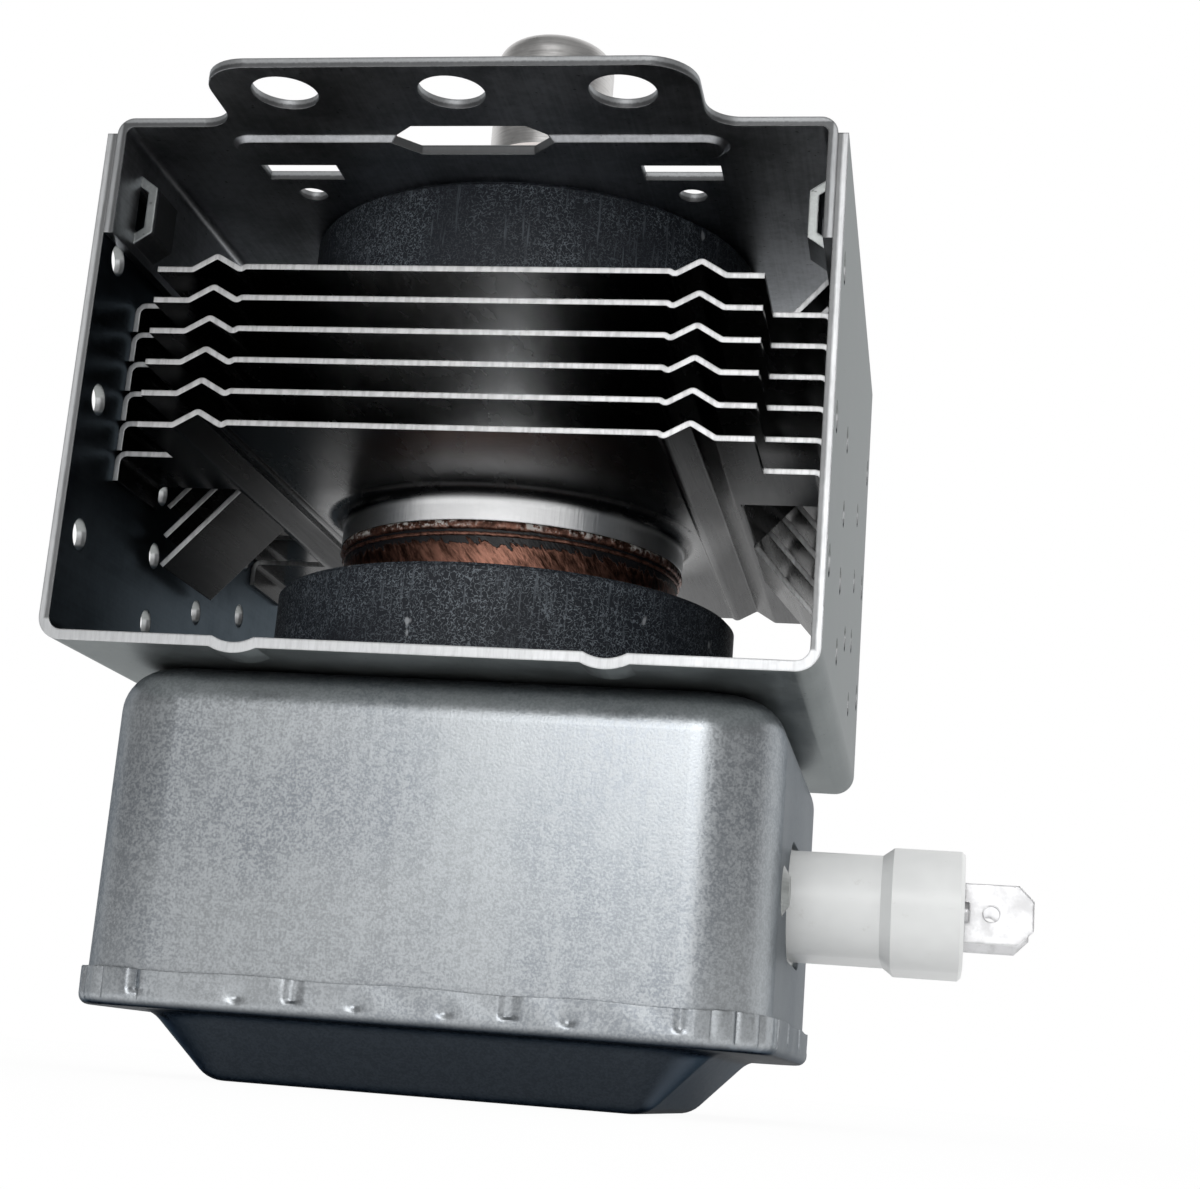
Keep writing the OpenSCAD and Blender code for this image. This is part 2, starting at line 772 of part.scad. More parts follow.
// Strip that runs out to the wall and turns down along it
wall_strip_path = bent_path([[fin_end_x - lap, -ridge_foot], [wall_in - fin_t / 2, -ridge_foot],
    [wall_in - fin_t / 2, -ridge_foot - wall_flange_h]], wall_bend_r);

// Louver bent up or down from the fin's end
function louver_path(way) = bent_path([[louver_root_x - lap, -ridge_foot], [louver_root_x, -ridge_foot],
    [louver_tip_x, -ridge_foot + way * louver_rise]], ridge_bend_r / 2);

// A pressed fin; its two halves are alike by a half turn
module cooling_fin(index) {
    window = [fin_end_x, 2 * wall_strip_from, 2 * (ridge_h + ridge_foot + fin_t)];
    color("gainsboro")
        translate([0, 0, anode_top - fin_drop - (index - 1) * fin_pitch])
            union() {
                difference() {
                    along_y(fin_d)
                        polygon(sheet_outline(fin_path, fin_t));
                    cylinder(r = bore_r + collar_bend_r, h = window[2], center = true);
                    for (side = [-1, 1])
                        translate([side * (louver_root_x + window[0] / 2), 0, 0])
                            cube(window, center = true);
                }
                rotate_extrude()
                    collar_section();
                for (turn = [0, 180])
                    rotate(turn) {
                        for (end = [-1, 1]) {
                            translate([0, end * (wall_strip_from + wall_strip_to) / 2, 0])
                                along_y(wall_strip_to - wall_strip_from)
                                    polygon(sheet_outline(wall_strip_path, fin_t));
                            translate([0, end * (louver_gap / 2 + louver_end) / 2, 0])
                                along_y(louver_end - louver_gap / 2)
                                    polygon(sheet_outline(louver_path(-end), fin_t));
                        }
                    }
            }
}

module anode_cylinder() {
    color("peru")
        translate([0, 0, anode_bottom])
            difference() {
                cylinder(r = anode_r, h = anode_h);
                translate([0, 0, -cut])
                    cylinder(r = anode_bore_r, h = anode_h + 2 * cut);
                for (z = [-cut, anode_h - pole_t])
                    translate([0, 0, z])
                        cylinder(r = pole_seat_r, h = pole_t + cut);
            }
}

// Grooves for the strap rings in one edge of a vane; the strap of the vane's own set sits on the floor
module strap_grooves(set) {
    for (k = [0, 1]) {
        radius = k == 0 ? strap_inner_r : strap_outer_r;
        depth = strap_h + (k == set ? 0 : strap_clear);
        translate([radius - strap_room, -vane_t, vane_h / 2 - depth])
            cube([strap_w + 2 * strap_room, 2 * vane_t, depth + cut]);
    }
}

module anode_vanes() {
    color("peru")
        translate([0, 0, anode_mid])
            for (i = [0 : vane_count - 1])
                rotate(360 * i / vane_count)
                    difference() {
                        intersection() {
                            translate([0, -vane_t / 2, -vane_h / 2])
                                cube([anode_r, vane_t, vane_h]);
                            translate([0, 0, -vane_h])
                                cylinder(r = anode_bore_r - fit_gap, h = 2 * vane_h);
                        }
                        cylinder(d = vane_bore_d, h = 2 * vane_h, center = true);
                        strap_grooves(i % 2);
                        mirror([0, 0, 1])
                            strap_grooves((i + 1) % 2);
                    }
}

module strap_rings() {
    color("peru")
        translate([0, 0, anode_mid])
            for (radius = [strap_inner_r, strap_outer_r], z = [-vane_h / 2, vane_h / 2 - strap_h])
                translate([0, 0, z])
                    ring(radius + strap_w, radius, strap_h);
}

// Iron funnel, drawn with its rim up
module pole_funnel() {
    path = bent_path([[pole_seat_r - fit_gap, -pole_t / 2], [pole_rim_in, -pole_t / 2],
        [pole_flat_r, -pole_flat_drop], [pole_hole_r, -pole_flat_drop]], pole_t);
    color("dimgray")
        rotate_extrude()
            polygon(sheet_outline(path, pole_t));
}

module upper_pole_piece() {
    difference() {
        translate([0, 0, anode_top])
            pole_funnel();
        translate([antenna_lead_x, 0, anode_mid])
            cylinder(r = antenna_lead_r + antenna_lead_room, h = anode_h / 2 + cut);
    }
}

module lower_pole_piece() {
    translate([0, 0, anode_bottom])
        mirror([0, 0, 1])
            pole_funnel();
}

// Metal cup from the anode's end through the magnet: flange, neck and lip
module seal_cup(flange_z, lip_z) {
    path = bent_path([[anode_r, flange_z], [neck_r - seal_t / 2, flange_z], [neck_r - seal_t / 2, lip_z],
        [ceramic_r - ceramic_wall, lip_z]], seal_bend_r);
    color("lightsteelblue")
        rotate_extrude()
            polygon(sheet_outline(path, seal_t));
}

module upper_seal_cup() {
    seal_cup(anode_top + seal_t / 2, neck_rise - seal_t / 2);
}

module lower_seal_cup() {
    seal_cup(anode_bottom - seal_t / 2, seal_low + seal_t / 2);
}

module antenna_ceramic() {
    color("mistyrose")
        translate([0, 0, neck_rise])
            ring(ceramic_r, ceramic_r - ceramic_wall, ceramic_h);
}

// Copper tube with a flange on the ceramic and a pinched end
module exhaust_tube() {
    tube_h = exhaust_top - ceramic_top;
    color("peru")
        translate([0, 0, ceramic_top])
            difference() {
                union() {
                    cylinder(r = exhaust_flange_r, h = exhaust_flange_t);
                    intersection() {
                        cylinder(r = exhaust_r, h = tube_h);
                        along_y(2 * exhaust_flange_r)
                            polygon([[-exhaust_r, 0], [exhaust_r, 0], [exhaust_r, tube_h - pinch_h],
                                [exhaust_wall / 2, tube_h], [-exhaust_wall / 2, tube_h],
                                [-exhaust_r, tube_h - pinch_h]]);
                    }
                }
                translate([0, 0, -cut])
                    cylinder(r = exhaust_r - exhaust_wall, h = tube_h - pinch_h - exhaust_wall + cut);
            }
}

module antenna_lead() {
    color("peru")
        wire(antenna_route, antenna_lead_r, 8);
}

module antenna_cap() {
    h = antenna_h - ceramic_top;
    color("rosybrown")
        translate([0, 0, ceramic_top])
            rotate_extrude()
                can_section(cap_r, h, cap_round, cap_t);
}

module rf_gasket() {
    inner = plate_hole_r + fit_gap;
    color("darkkhaki")
        rotate_extrude()
            translate([inner, 0])
                union() {
                    translate([gasket_round, 0])
                        square([gasket_w - 2 * gasket_round, gasket_h]);
                    translate([0, gasket_round])
                        square([gasket_w, gasket_h - 2 * gasket_round]);
                    for (x = [gasket_round, gasket_w - gasket_round])
                        for (y = [gasket_round, gasket_h - gasket_round])
                            translate([x, y])
                                circle(r = gasket_round);
                }
}

module filament() {
    steps = filament_turns * coil_steps;
    low = anode_mid - filament_h / 2 + filament_wire_d / 2 + fit_gap;
    rise = filament_h - filament_wire_d - 2 * fit_gap;
    path = [for (i = [0 : steps])
        let (a = 360 * filament_turns * i / steps)
        [filament_d / 2 * cos(a), filament_d / 2 * sin(a), low + rise * i / steps]];
    color("gray")
        wire(path, filament_wire_d / 2, 6);
}

// End hat with its boss up
module end_hat(hole_r) {
    color("gray")
        difference() {
            union() {
                translate([0, 0, -hat_h])
                    cylinder(d = hat_d, h = hat_h);
                cylinder(r = hat_boss_r, h = hat_boss_h);
            }
            translate([0, 0, -hat_h - cut])
                cylinder(r = hole_r, h = hat_h + hat_boss_h + 2 * cut);
        }
}

module upper_end_hat() {
    translate([0, 0, anode_mid + filament_h / 2])
        mirror([0, 0, 1])
            end_hat(lead_d / 2 + fit_gap);
}

module lower_end_hat() {
    translate([0, 0, anode_mid - filament_h / 2])
        end_hat(lead_d / 2 + lead_room);
}

module centre_lead() {
    top = anode_mid + filament_h / 2 + hat_h;
    color("gray")
        translate([0, 0, lead_low])
            cylinder(d = lead_d, h = top - lead_low);
}

module side_lead() {
    top = anode_mid - filament_h / 2 - hat_h;
    color("gray")
        translate([0, side_lead_y, lead_low])
            cylinder(d = lead_d, h = top - lead_low);
}

// Holes for the two cathode leads
module lead_holes(low, high) {
    for (y = [0, side_lead_y])
        translate([0, y, low - cut])
            cylinder(r = lead_d / 2 + fit_gap, h = high - low + 2 * cut);
}

module stem_ceramic() {
    color("white")
        difference() {
            translate([0, 0, stem_low])
                cylinder(d = stem_d, h = stem_h);
            lead_holes(stem_low, seal_low);
        }
}

module stem_terminals() {
    split = side_lead_y / 2;
    color("lightgray")
        difference() {
            translate([0, 0, stem_low - stem_plate_t])
                for (span = [[-stem_plate_reach, split - stem_plate_gap / 2],
                    [split + stem_plate_gap / 2, stem_plate_reach]])
                    translate([-stem_plate_w / 2, span[0], 0])
                        cube([stem_plate_w, span[1] - span[0], stem_plate_t]);
            lead_holes(stem_low - stem_plate_t, stem_low);
        }
}

// The neck's oval opening in the box's wall
module insulator_hole() {
    translate([wall_x - box_t - cut, 0, terminal_z])
        oval_bar(terminal_pitch, insulator_neck_d / 2 + insulator_room, insulator_neck_d / 2 + insulator_room,
            box_t + 2 * cut);
}

// Holes for the two rivets of the ground plate
module rivet_holes() {
    for (side = [-1, 1])
        translate([ground_x - cut, side * rivet_y, terminal_z])
            rotate([0, 90, 0])
                cylinder(r = rivet_d / 2 + fit_gap, h = ground_t + box_t + 2 * cut);
}

module filter_box() {
    color("lightslategray")
        difference() {
            union() {
                translate([0, 0, box_bottom])
                    round_the_rim(box_w, box_d, box_corner_r)
                        can_section(box_corner_r, box_h, box_edge_r, box_t);
                translate([0, 0, box_top - box_t])
                    rim_floor(box_w, box_d, box_corner_r, box_t);
                at_clinches() {
                    translate([0, 0, box_top - box_t])
                        cylinder(r = clinch_r, h = box_t + bracket_t + clinch_head[1]);
                    translate([0, 0, floor_z])
                        cylinder(r = clinch_head[0], h = clinch_head[1]);
                }
            }
            at_clinches()
                translate([0, 0, box_top - box_t - cut])
                    cylinder(r = clinch_r - clinch_wall, h = box_t + bracket_t + clinch_head[1] + 2 * cut);
            translate([0, 0, box_top - box_t - cut])
                cylinder(r = bracket_hole_r, h = box_t + 2 * cut);
            insulator_hole();
            rivet_holes();
        }
}

// Slits in the lid's hem, along the front and rear and along the sides
module hem_slits() {
    for (i = [0, 1], side = [-1, 1]) {
        translate([side * slit_at[i] - slit_ws[i] / 2, -lid_d, box_bottom + slit_low])
            cube([slit_ws[i], 2 * lid_d, hem_h]);
        translate([-lid_w, side * side_slit_at[i] - slit_ws[i] / 2, box_bottom + slit_low])
            cube([2 * lid_w, slit_ws[i], hem_h]);
    }
}

// Dents that lock the hem to the box
module hem_dents() {
    for (x = hem_dent_at, side = [-1, 1], turn = [0, 180])
        rotate(turn)
            translate([side * x, lid_d / 2 - hem_dent_depth, box_bottom + hem_h / 3])
                rotate([-90, 0, 0])
                    cylinder(r1 = hem_dent_r / 3, r2 = hem_dent_r, h = 2 * hem_dent_depth);
}

module filter_lid() {
    pan_path = bent_path([[pan_corner_r + pan_bend_r + lap, -lid_t / 2], [pan_corner_r, -lid_t / 2],
        [pan_corner_r - pan_run, -pan_h + lid_t / 2], [0, -pan_h + lid_t / 2]], pan_bend_r);
    color("slategray") {
        difference() {
            translate([0, 0, box_bottom + hem_h])
                mirror([0, 0, 1]) {
                    round_the_rim(lid_w, lid_d, lid_corner_r)
                        can_section(lid_corner_r, hem_h + lid_t, hem_bend_r, lid_t);
                    translate([0, 0, hem_h])
                        rim_floor(lid_w, lid_d, lid_corner_r, lid_t);
                }
            translate([0, 0, box_bottom - lid_t - cut])
                linear_extrude(height = lid_t + 2 * cut)
                    pan_area();
            hem_slits();
            hem_dents();
        }
        translate([0, 0, box_bottom]) {
            round_the_rim(pan_w, pan_d, pan_corner_r)
                polygon(sheet_outline(pan_path, lid_t));
            translate([0, 0, -pan_h])
                rim_floor(pan_w, pan_d, pan_corner_r, lid_t);
        }
    }
}

// Opening for the lid's pan and the bend round it
module pan_area() {
    reach = 2 * pan_bend_r;
    square([pan_w - 2 * pan_corner_r, pan_d + reach], center = true);
    square([pan_w + reach, pan_d - 2 * pan_corner_r], center = true);
    for (x = [-1, 1], y = [-1, 1])
        translate([x * (pan_w / 2 - pan_corner_r), y * (pan_d / 2 - pan_corner_r)])
            circle(r = pan_corner_r + pan_bend_r);
}

// Coil of one choke with its two leads, drawn on the front side
module choke_coil() {
    steps = floor(coil_turns * coil_steps);
    coil = [for (i = [0 : steps])
        let (turns = coil_turns * i / steps, a = 360 * turns)
        [coil_x + coil_pitch * turns, coil_r * cos(a) - choke_y, terminal_z + coil_r * sin(a)]];
    color("chocolate")
        wire(concat(choke_start, coil, choke_end), choke_wire_d / 2, 8);
}

module choke_coil_front() {
    choke_coil();
}

module choke_coil_rear() {
    mirror([0, 1, 0])
        choke_coil();
}

module choke_core(side) {
    color("black")
        translate([core_x, side * choke_y, terminal_z])
            rotate([0, 90, 0])
                cylinder(d = core_d, h = core_l);
}

module choke_core_front() {
    choke_core(-1);
}

module choke_core_rear() {
    choke_core(1);
}

module capacitor_ground_plate() {
    color("lightgray")
        difference() {
            translate([ground_x, -ground_size[0] / 2, terminal_z - ground_size[1] / 2])
                cube([ground_t, ground_size[0], ground_size[1]]);
            conductor_holes(ground_hole_r, ground_x, ground_x + ground_t);
            rivet_holes();
        }
}

// Bores for the two conductors
module conductor_holes(r, from, to) {
    for (side = [-1, 1])
        translate([from - cut, side * terminal_pitch / 2, terminal_z])
            rotate([0, 90, 0])
                cylinder(r = r, h = to - from + 2 * cut);
}

module capacitor_rivets() {
    color("lightgray")
        for (side = [-1, 1])
            translate([ground_x, side * rivet_y, terminal_z])
                rotate([0, 90, 0]) {
                    cylinder(d = rivet_d, h = ground_t + box_t);
                    translate([0, 0, -rivet_head_h])
                        cylinder(r = rivet_head_r, h = rivet_head_h);
                    translate([0, 0, ground_t + box_t])
                        cylinder(r1 = rivet_head_r, r2 = rivet_d / 2, h = rivet_head_h);
                }
}

module capacitor_body() {
    color("lightblue")
        difference() {
            translate([ground_x - capacitor_l, 0, terminal_z])
                oval_bar(terminal_pitch, capacitor_r, capacitor_r, capacitor_l);
            conductor_holes(conductor_d / 2 + conductor_room, ground_x - capacitor_l, ground_x);
        }
}

module terminal_insulator() {
    base_x = wall_x - box_t;
    neck_r1 = insulator_neck_d / 2;
    head_r1 = insulator_head_d / 2;
    color("whitesmoke")
        difference() {
            translate([0, 0, terminal_z]) {
                translate([base_x, 0, 0])
                    oval_bar(terminal_pitch, neck_r1, neck_r1, box_t + insulator_neck_l);
                translate([wall_x + insulator_neck_l - insulator_taper, 0, 0])
                    oval_bar(terminal_pitch, neck_r1, head_r1, insulator_taper);
                translate([wall_x + insulator_neck_l, 0, 0])
                    oval_bar(terminal_pitch, head_r1, head_r1, insulator_head_l - insulator_edge);
                translate([insulator_end - insulator_edge, 0, 0])
                    oval_bar(terminal_pitch, head_r1, head_r1 - insulator_edge, insulator_edge);
            }
            conductor_holes(conductor_d / 2 + conductor_room, base_x, insulator_end);
        }
}

// Quick-connect tab with the conductor behind it
module terminal_tab(side) {
    half = blade_w / 2;
    color("white")
        translate([0, side * terminal_pitch / 2, terminal_z]) {
            translate([conductor_x, 0, 0])
                rotate([0, 90, 0])
                    cylinder(d = conductor_d, h = insulator_end - conductor_x + lap);
            translate([insulator_end, 0, 0])
                difference() {
                    along_y(blade_t)
                        polygon([[0, -half], [blade_l - blade_tip, -half], [blade_l, blade_tip - half],
                            [blade_l, half - blade_tip], [blade_l - blade_tip, half], [0, half]]);
                    translate([blade_hole_x, 0, 0])
                        rotate([90, 0, 0])
                            cylinder(d = blade_hole_d, h = 2 * blade_t, center = true);
                }
        }
}

module terminal_tab_front() {
    terminal_tab(-1);
}

module terminal_tab_rear() {
    terminal_tab(1);
}

yoke_bracket();
yoke_top_plate();
upper_magnet();
lower_magnet();
cooling_fin(1);  // cooling_fin_1
cooling_fin(2);  // cooling_fin_2
cooling_fin(3);  // cooling_fin_3
cooling_fin(4);  // cooling_fin_4
cooling_fin(5);  // cooling_fin_5
cooling_fin(6);  // cooling_fin_6
anode_cylinder();
anode_vanes();
strap_rings();
upper_pole_piece();
lower_pole_piece();
upper_seal_cup();
lower_seal_cup();
antenna_ceramic();
exhaust_tube();
antenna_lead();
antenna_cap();
rf_gasket();
filament();
upper_end_hat();
lower_end_hat();
centre_lead();
side_lead();
stem_ceramic();
stem_terminals();
filter_box();
filter_lid();
choke_coil_front();
choke_coil_rear();
choke_core_front();
choke_core_rear();
capacitor_ground_plate();
capacitor_rivets();
capacitor_body();
terminal_insulator();
terminal_tab_front();
terminal_tab_rear();
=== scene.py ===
"""Finish of an oven magnetron, laid out as an add-on.

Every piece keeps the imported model's frame, in metres. Sizes are named in millimetres, and turned into metres
where a mesh or a node gets them.
"""

import math

import bmesh
import bpy
import numpy as np
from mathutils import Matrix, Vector


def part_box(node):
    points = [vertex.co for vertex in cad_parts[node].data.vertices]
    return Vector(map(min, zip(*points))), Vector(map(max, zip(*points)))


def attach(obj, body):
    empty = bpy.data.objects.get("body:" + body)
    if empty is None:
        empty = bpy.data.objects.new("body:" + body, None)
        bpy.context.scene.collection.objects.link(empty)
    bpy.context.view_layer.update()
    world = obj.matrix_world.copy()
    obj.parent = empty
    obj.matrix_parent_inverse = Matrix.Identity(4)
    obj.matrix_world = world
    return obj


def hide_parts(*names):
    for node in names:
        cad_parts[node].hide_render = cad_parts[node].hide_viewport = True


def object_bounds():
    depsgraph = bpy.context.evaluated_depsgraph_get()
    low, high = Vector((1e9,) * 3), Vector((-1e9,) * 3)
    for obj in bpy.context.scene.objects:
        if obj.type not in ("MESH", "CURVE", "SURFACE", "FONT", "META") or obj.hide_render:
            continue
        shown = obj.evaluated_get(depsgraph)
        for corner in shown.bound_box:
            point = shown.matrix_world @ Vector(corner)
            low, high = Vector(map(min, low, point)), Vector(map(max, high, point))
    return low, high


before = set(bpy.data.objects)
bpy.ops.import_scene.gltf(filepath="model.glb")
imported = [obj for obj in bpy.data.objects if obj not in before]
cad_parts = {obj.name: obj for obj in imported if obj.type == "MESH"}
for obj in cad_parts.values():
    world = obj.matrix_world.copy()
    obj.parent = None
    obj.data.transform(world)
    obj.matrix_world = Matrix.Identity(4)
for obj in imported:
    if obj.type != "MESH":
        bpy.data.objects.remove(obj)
CAD_BOX = [list(corner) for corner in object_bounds()]

bl_info = {
    "name": "Oven magnetron finish",
    "version": (1, 0, 0),
    "blender": (4, 5, 0),
    "location": "View3D > Sidebar > Magnetron",
    "description": "Gives the magnetron's solids their finish and adds its studio",
    "category": "Object",
}

MM = 0.001
# Points of a made surface closer than this many metres are joined, and edges past this angle are sharp
WELD = 1e-7
SHARP = math.radians(50)
FINS = [name for name in sorted(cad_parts) if name.startswith("cooling_fin")]
# Sheet thicknesses and the pressed beads of the flange plate, in millimetres
BRACKET_SHEET = 1.1
PLATE_SHEET = 1.0
BEAD_Y = 35.5
BEAD_HALF = 1.5
KEY_SLOT_HALF = 9.0
# Width that a leg of the flange plate and its bend take up
LEG_WIDTH = 2.2
# Marks of the lid's hem, in millimetres from the middle or over its foot, and in shares of a corner's turn
FRONT_SLITS = (11.0, 27.8)
SIDE_SLITS = (9.0, 24.2)
SLIT_FOOT = 1.0
DENTS = (4.6, 16.9)
DENT_RISE = 1.1
PLEATS = (0.27, 0.45, 0.67, 0.97)
# Length of flat sheet that the lid's section keeps beside the hem's bend and beside the pan's bends
HEM_LAP = 1.2
PAN_LAP = 2.0
# Steps between the lid's rows on the hem and on the pan, on its outer face and its inner one, and along a row
ROW_STEPS = ((0.28, 0.6), (1.5, 3.0))
RIM_STEP = 0.35
GASKET_BORE = 10.13
GASKET_LOOPS = 60
# Millimetres from the tube's axis over which the fins' painted sheen fades, and at which a collar's bend has
# ended
SHEEN_COLLAR_FADES = (21.0, 27.0)
BEND_ENDS = 24.0
# Millimetres from the middle plane over which the painted sheen in the middle of the fins fades
SHEEN_MIDDLE_FADES = (5.0, 20.0)
# Height of the lowest fin's flat sheet
LOWEST_FIN = -34.3
# How far a fin's collar changes its radius for each millimetre of height
COLLAR_NARROWS = 0.22
COLLAR_FLARES = 0.28
# Waves of the braze: how many round it, how many over it, their phase and their share's divisor
BRAZE_WAVES = ((17, 0, 0.3, 1.5), (41, 1, 1.1, 2.0), (67, 1, 2.3, 2.5), (113, 2, 0.7, 2.5),
               (157, 1, 1.9, 3.0))
# Top, foot and swell of the braze and of the ridge below it, in millimetres
BRAZE_RINGS = {"braze_bead": (-38.4, -39.4, 0.34), "braze_ridge": (-39.7, -40.15, 0.18)}
# Height at which the anode's dark coating is torn off
TORN_LINE = -38.55
# Painted shade: a zinc coat's reflection is dimmed at a flat angle, and a spangled one's more so, for faces
# that lie in shade
FLAT_ANGLE_SHADE = (0.44, 0.46, 0.47)
FLAT_ANGLE_SHADE_SPANGLE = (0.20, 0.215, 0.23)
FLOOR_REACH = 3.0
# How much of the floor's look is plain white, for each kind of ray that sees it
FLOOR_WHITE = {"Is Camera Ray": 0.95, "Is Glossy Ray": 0.3, "Is Transmission Ray": 0.95}
# Nearest and farthest that the camera sees, in metres
CAMERA_CLIP = (0.01, 20.0)


class Wiring:
    """A node tree being wired: each method adds one node, and returns its main output."""

    def __init__(self, tree):
        self.tree = tree

    def feed(self, socket, item):
        """Links a node's output to a socket, or gives the socket a constant."""
        if isinstance(item, bpy.types.NodeSocket):
            self.tree.links.new(item, socket)
        elif socket.type == "RGBA":
            socket.default_value = (*item[:3], 1.0)
        else:
            socket.default_value = item

    def node(self, kind, sockets=None, **settings):
        """One node, with its settings, and its sockets fed by name or number."""
        made = self.tree.nodes.new(kind)
        for name, value in settings.items():
            setattr(made, name, value)
        for name, item in (sockets or {}).items():
            self.feed(made.inputs[name], item)
        return made

    def ramp(self, value, low, high, start=0.0, end=1.0):
        """start below low, end above high, and a smooth step between them."""
        sockets = {"Value": value, "From Min": low, "From Max": high, "To Min": start, "To Max": end}
        return self.node("ShaderNodeMapRange", sockets, interpolation_type="SMOOTHSTEP").outputs["Result"]

    def sum(self, *values, operation="ADD"):
        """Values put together pair by pair with one arithmetic operation."""
        total = values[0]
        for value in values[1:]:
            total = self.node("ShaderNodeMath", {0: total, 1: value}, operation=operation).outputs[0]
        return total

    def times(self, *values):
        """The product of the values."""
        return self.sum(*values, operation="MULTIPLY")

    def either(self, *values):
        """The largest of the values."""
        return self.sum(*values, operation="MAXIMUM")

    def size_of(self, value):
        """The value without its sign."""
        return self.sum(value, 0.0, operation="ABSOLUTE")

    def mix(self, share, below, above):
        """Colour below where share is 0, and above where it is 1."""
        return self.node("ShaderNodeMix", {0: share, 6: below, 7: above}, data_type="RGBA").outputs[2]


class Finish(Wiring):
    """A material being wired, whose places are counted in millimetres from the flange's centre."""

    def __init__(self, name):
        self.material = bpy.data.materials.new(name)
        self.material.use_nodes = True
        super().__init__(self.material.node_tree)
        self.shader = self.tree.nodes["Principled BSDF"]
        self.coordinates = self.node("ShaderNodeTexCoord")
        self.place = self.stretch(1, 1, 1)
        self.rounded = None

    def stretch(self, x, y, z, lean=0.0):
        """Places leant about Y, times a factor along each axis: a small one draws a pattern out."""
        sockets = {"Vector": self.coordinates.outputs["Object"], "Rotation": (0.0, lean, 0.0)}
        leant = self.node("ShaderNodeMapping", sockets).outputs["Vector"]
        sockets = {"Vector": leant, "Scale": (x / MM, y / MM, z / MM)}
        return self.node("ShaderNodeMapping", sockets).outputs["Vector"]

    def noise(self, scale, vector=None, detail=3.0, roughness=0.55, distortion=0.0):
        """Cloudy noise from 0 to 1, with scale in cells a millimetre."""
        sockets = {"Vector": vector or self.place, "Scale": scale, "Detail": detail, "Roughness": roughness,
                   "Distortion": distortion}
        return self.node("ShaderNodeTexNoise", sockets).outputs["Fac"]

    def grains(self, scale):
        """A random grey for each crystal cell, with scale in cells a millimetre."""
        sockets = {"Vector": self.place, "Scale": scale}
        colour = self.node("ShaderNodeTexVoronoi", sockets).outputs["Color"]
        return self.node("ShaderNodeSeparateColor", {"Color": colour}).outputs[0]

    def axis(self, letter):
        """Height along X, Y or Z, in millimetres."""
        return self.node("ShaderNodeSeparateXYZ", {"Vector": self.place}).outputs[letter]

    def facing(self, letter, signed=False):
        """How far the face's normal lies along X, Y or Z, from 0 to 1, or from -1 where signed."""
        parts = self.node("ShaderNodeSeparateXYZ", {"Vector": self.coordinates.outputs["Normal"]})
        part = parts.outputs[letter]
        return part if signed else self.size_of(part)

    def round_edges(self, radius):
        """Turns the normals near sharp edges, as if these had a small radius in millimetres."""
        self.rounded = self.node("ShaderNodeBevel", {"Radius": radius * MM}, samples=4).outputs["Normal"]

    def relief(self, *layers):
        """Normal of a surface with layers of (height from 0 to 1, depth in millimetres) on it."""
        normal = self.rounded
        for height, depth in layers:
            sockets = {"Height": height, "Distance": depth * MM, "Strength": 1.0}
            if normal is not None:
                sockets["Normal"] = normal
            normal = self.node("ShaderNodeBump", sockets).outputs["Normal"]
        return normal

    def done(self, **inputs):
        """Feeds the shader's sockets, whose names have _ for a blank, and gives the material."""
        for name, item in inputs.items():
            self.feed(self.shader.inputs[name.replace("_", " ")], item)
        return self.material


def dress(material, *nodes):
    """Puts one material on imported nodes."""
    for node in nodes:
        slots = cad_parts[node].data.materials
        slots.clear()
        slots.append(material)


def shade(colour, factor):
    """A lighter or darker tone of a colour."""
    return tuple(min(1.0, part * factor) for part in colour[:3])


def zinc_sheet(name, colours, painted_inside_tone, edge_colour, sheet):
    """Zinc-plated sheet: clouded satin metal with rolling lines, specks and sheared edges, and a tone painted
    on its inner faces in place of their light and shade.

    sheet gives three functions of the finish: 1 on cut edges, 1 on faces inside the yoke, and the depth under
    the outer face as a share of the thickness.
    """
    skin = Finish(name)
    skin.round_edges(0.26)
    cut_share, painted_inside_share, depth_share = sheet
    cloud = skin.noise(0.09, detail=5.0)
    mottle = skin.noise(0.9, detail=4.0, roughness=0.65)
    lines = skin.noise(1.0, skin.stretch(3.0, 0.06, 3.0), detail=2.0)
    specks = skin.ramp(skin.noise(1.7, detail=1.0), 0.72, 0.78)
    tone = skin.sum(skin.times(cloud, 0.5), skin.times(mottle, 0.3), skin.times(lines, 0.2))
    level = skin.ramp(tone, 0.36, 0.64)
    outside = skin.mix(level, shade(colours.zinc, 0.84), shade(colours.zinc, 1.12))
    # Painted shade and light: faces inside the yoke take their own tone, dark inside the bracket and lighter
    # under the plate, though the zinc is the same
    inside = skin.mix(level, shade(painted_inside_tone, 0.7), shade(painted_inside_tone, 1.2))
    face = skin.mix(painted_inside_share(skin), outside, inside)
    face = skin.mix(skin.times(specks, 0.6), face, shade(colours.zinc, 0.25))
    # Partly painted light: a sheared edge is burnished along its inner half and breaks along its outer one,
    # and its outer half is painted bright and its inner half dark, as a rounded rim would catch and lose the
    # light
    shear = skin.noise(1.0, skin.stretch(2.6, 2.6, 0.3), detail=3.0, roughness=0.7)
    torn = skin.sum(depth_share(skin), skin.times(skin.sum(shear, -0.5), 0.3))
    edge = skin.mix(skin.ramp(torn, 0.38, 0.66), edge_colour, shade(edge_colour, 0.32))
    edge = skin.mix(skin.times(skin.ramp(shear, 0.3, 0.6, 1.0, 0.0), 0.2), edge, shade(edge_colour, 0.4))
    cut = cut_share(skin)
    rough = skin.sum(skin.ramp(tone, 0.3, 0.7, 0.28, 0.40), skin.times(cut, 0.12))
    normal = skin.relief((mottle, 0.012), (lines, 0.006), (skin.times(shear, cut), 0.015))
    return skin.done(Base_Color=skin.mix(cut, face, edge), Metallic=1.0, Roughness=rough, Normal=normal,
                     Specular_Tint=FLAT_ANGLE_SHADE)


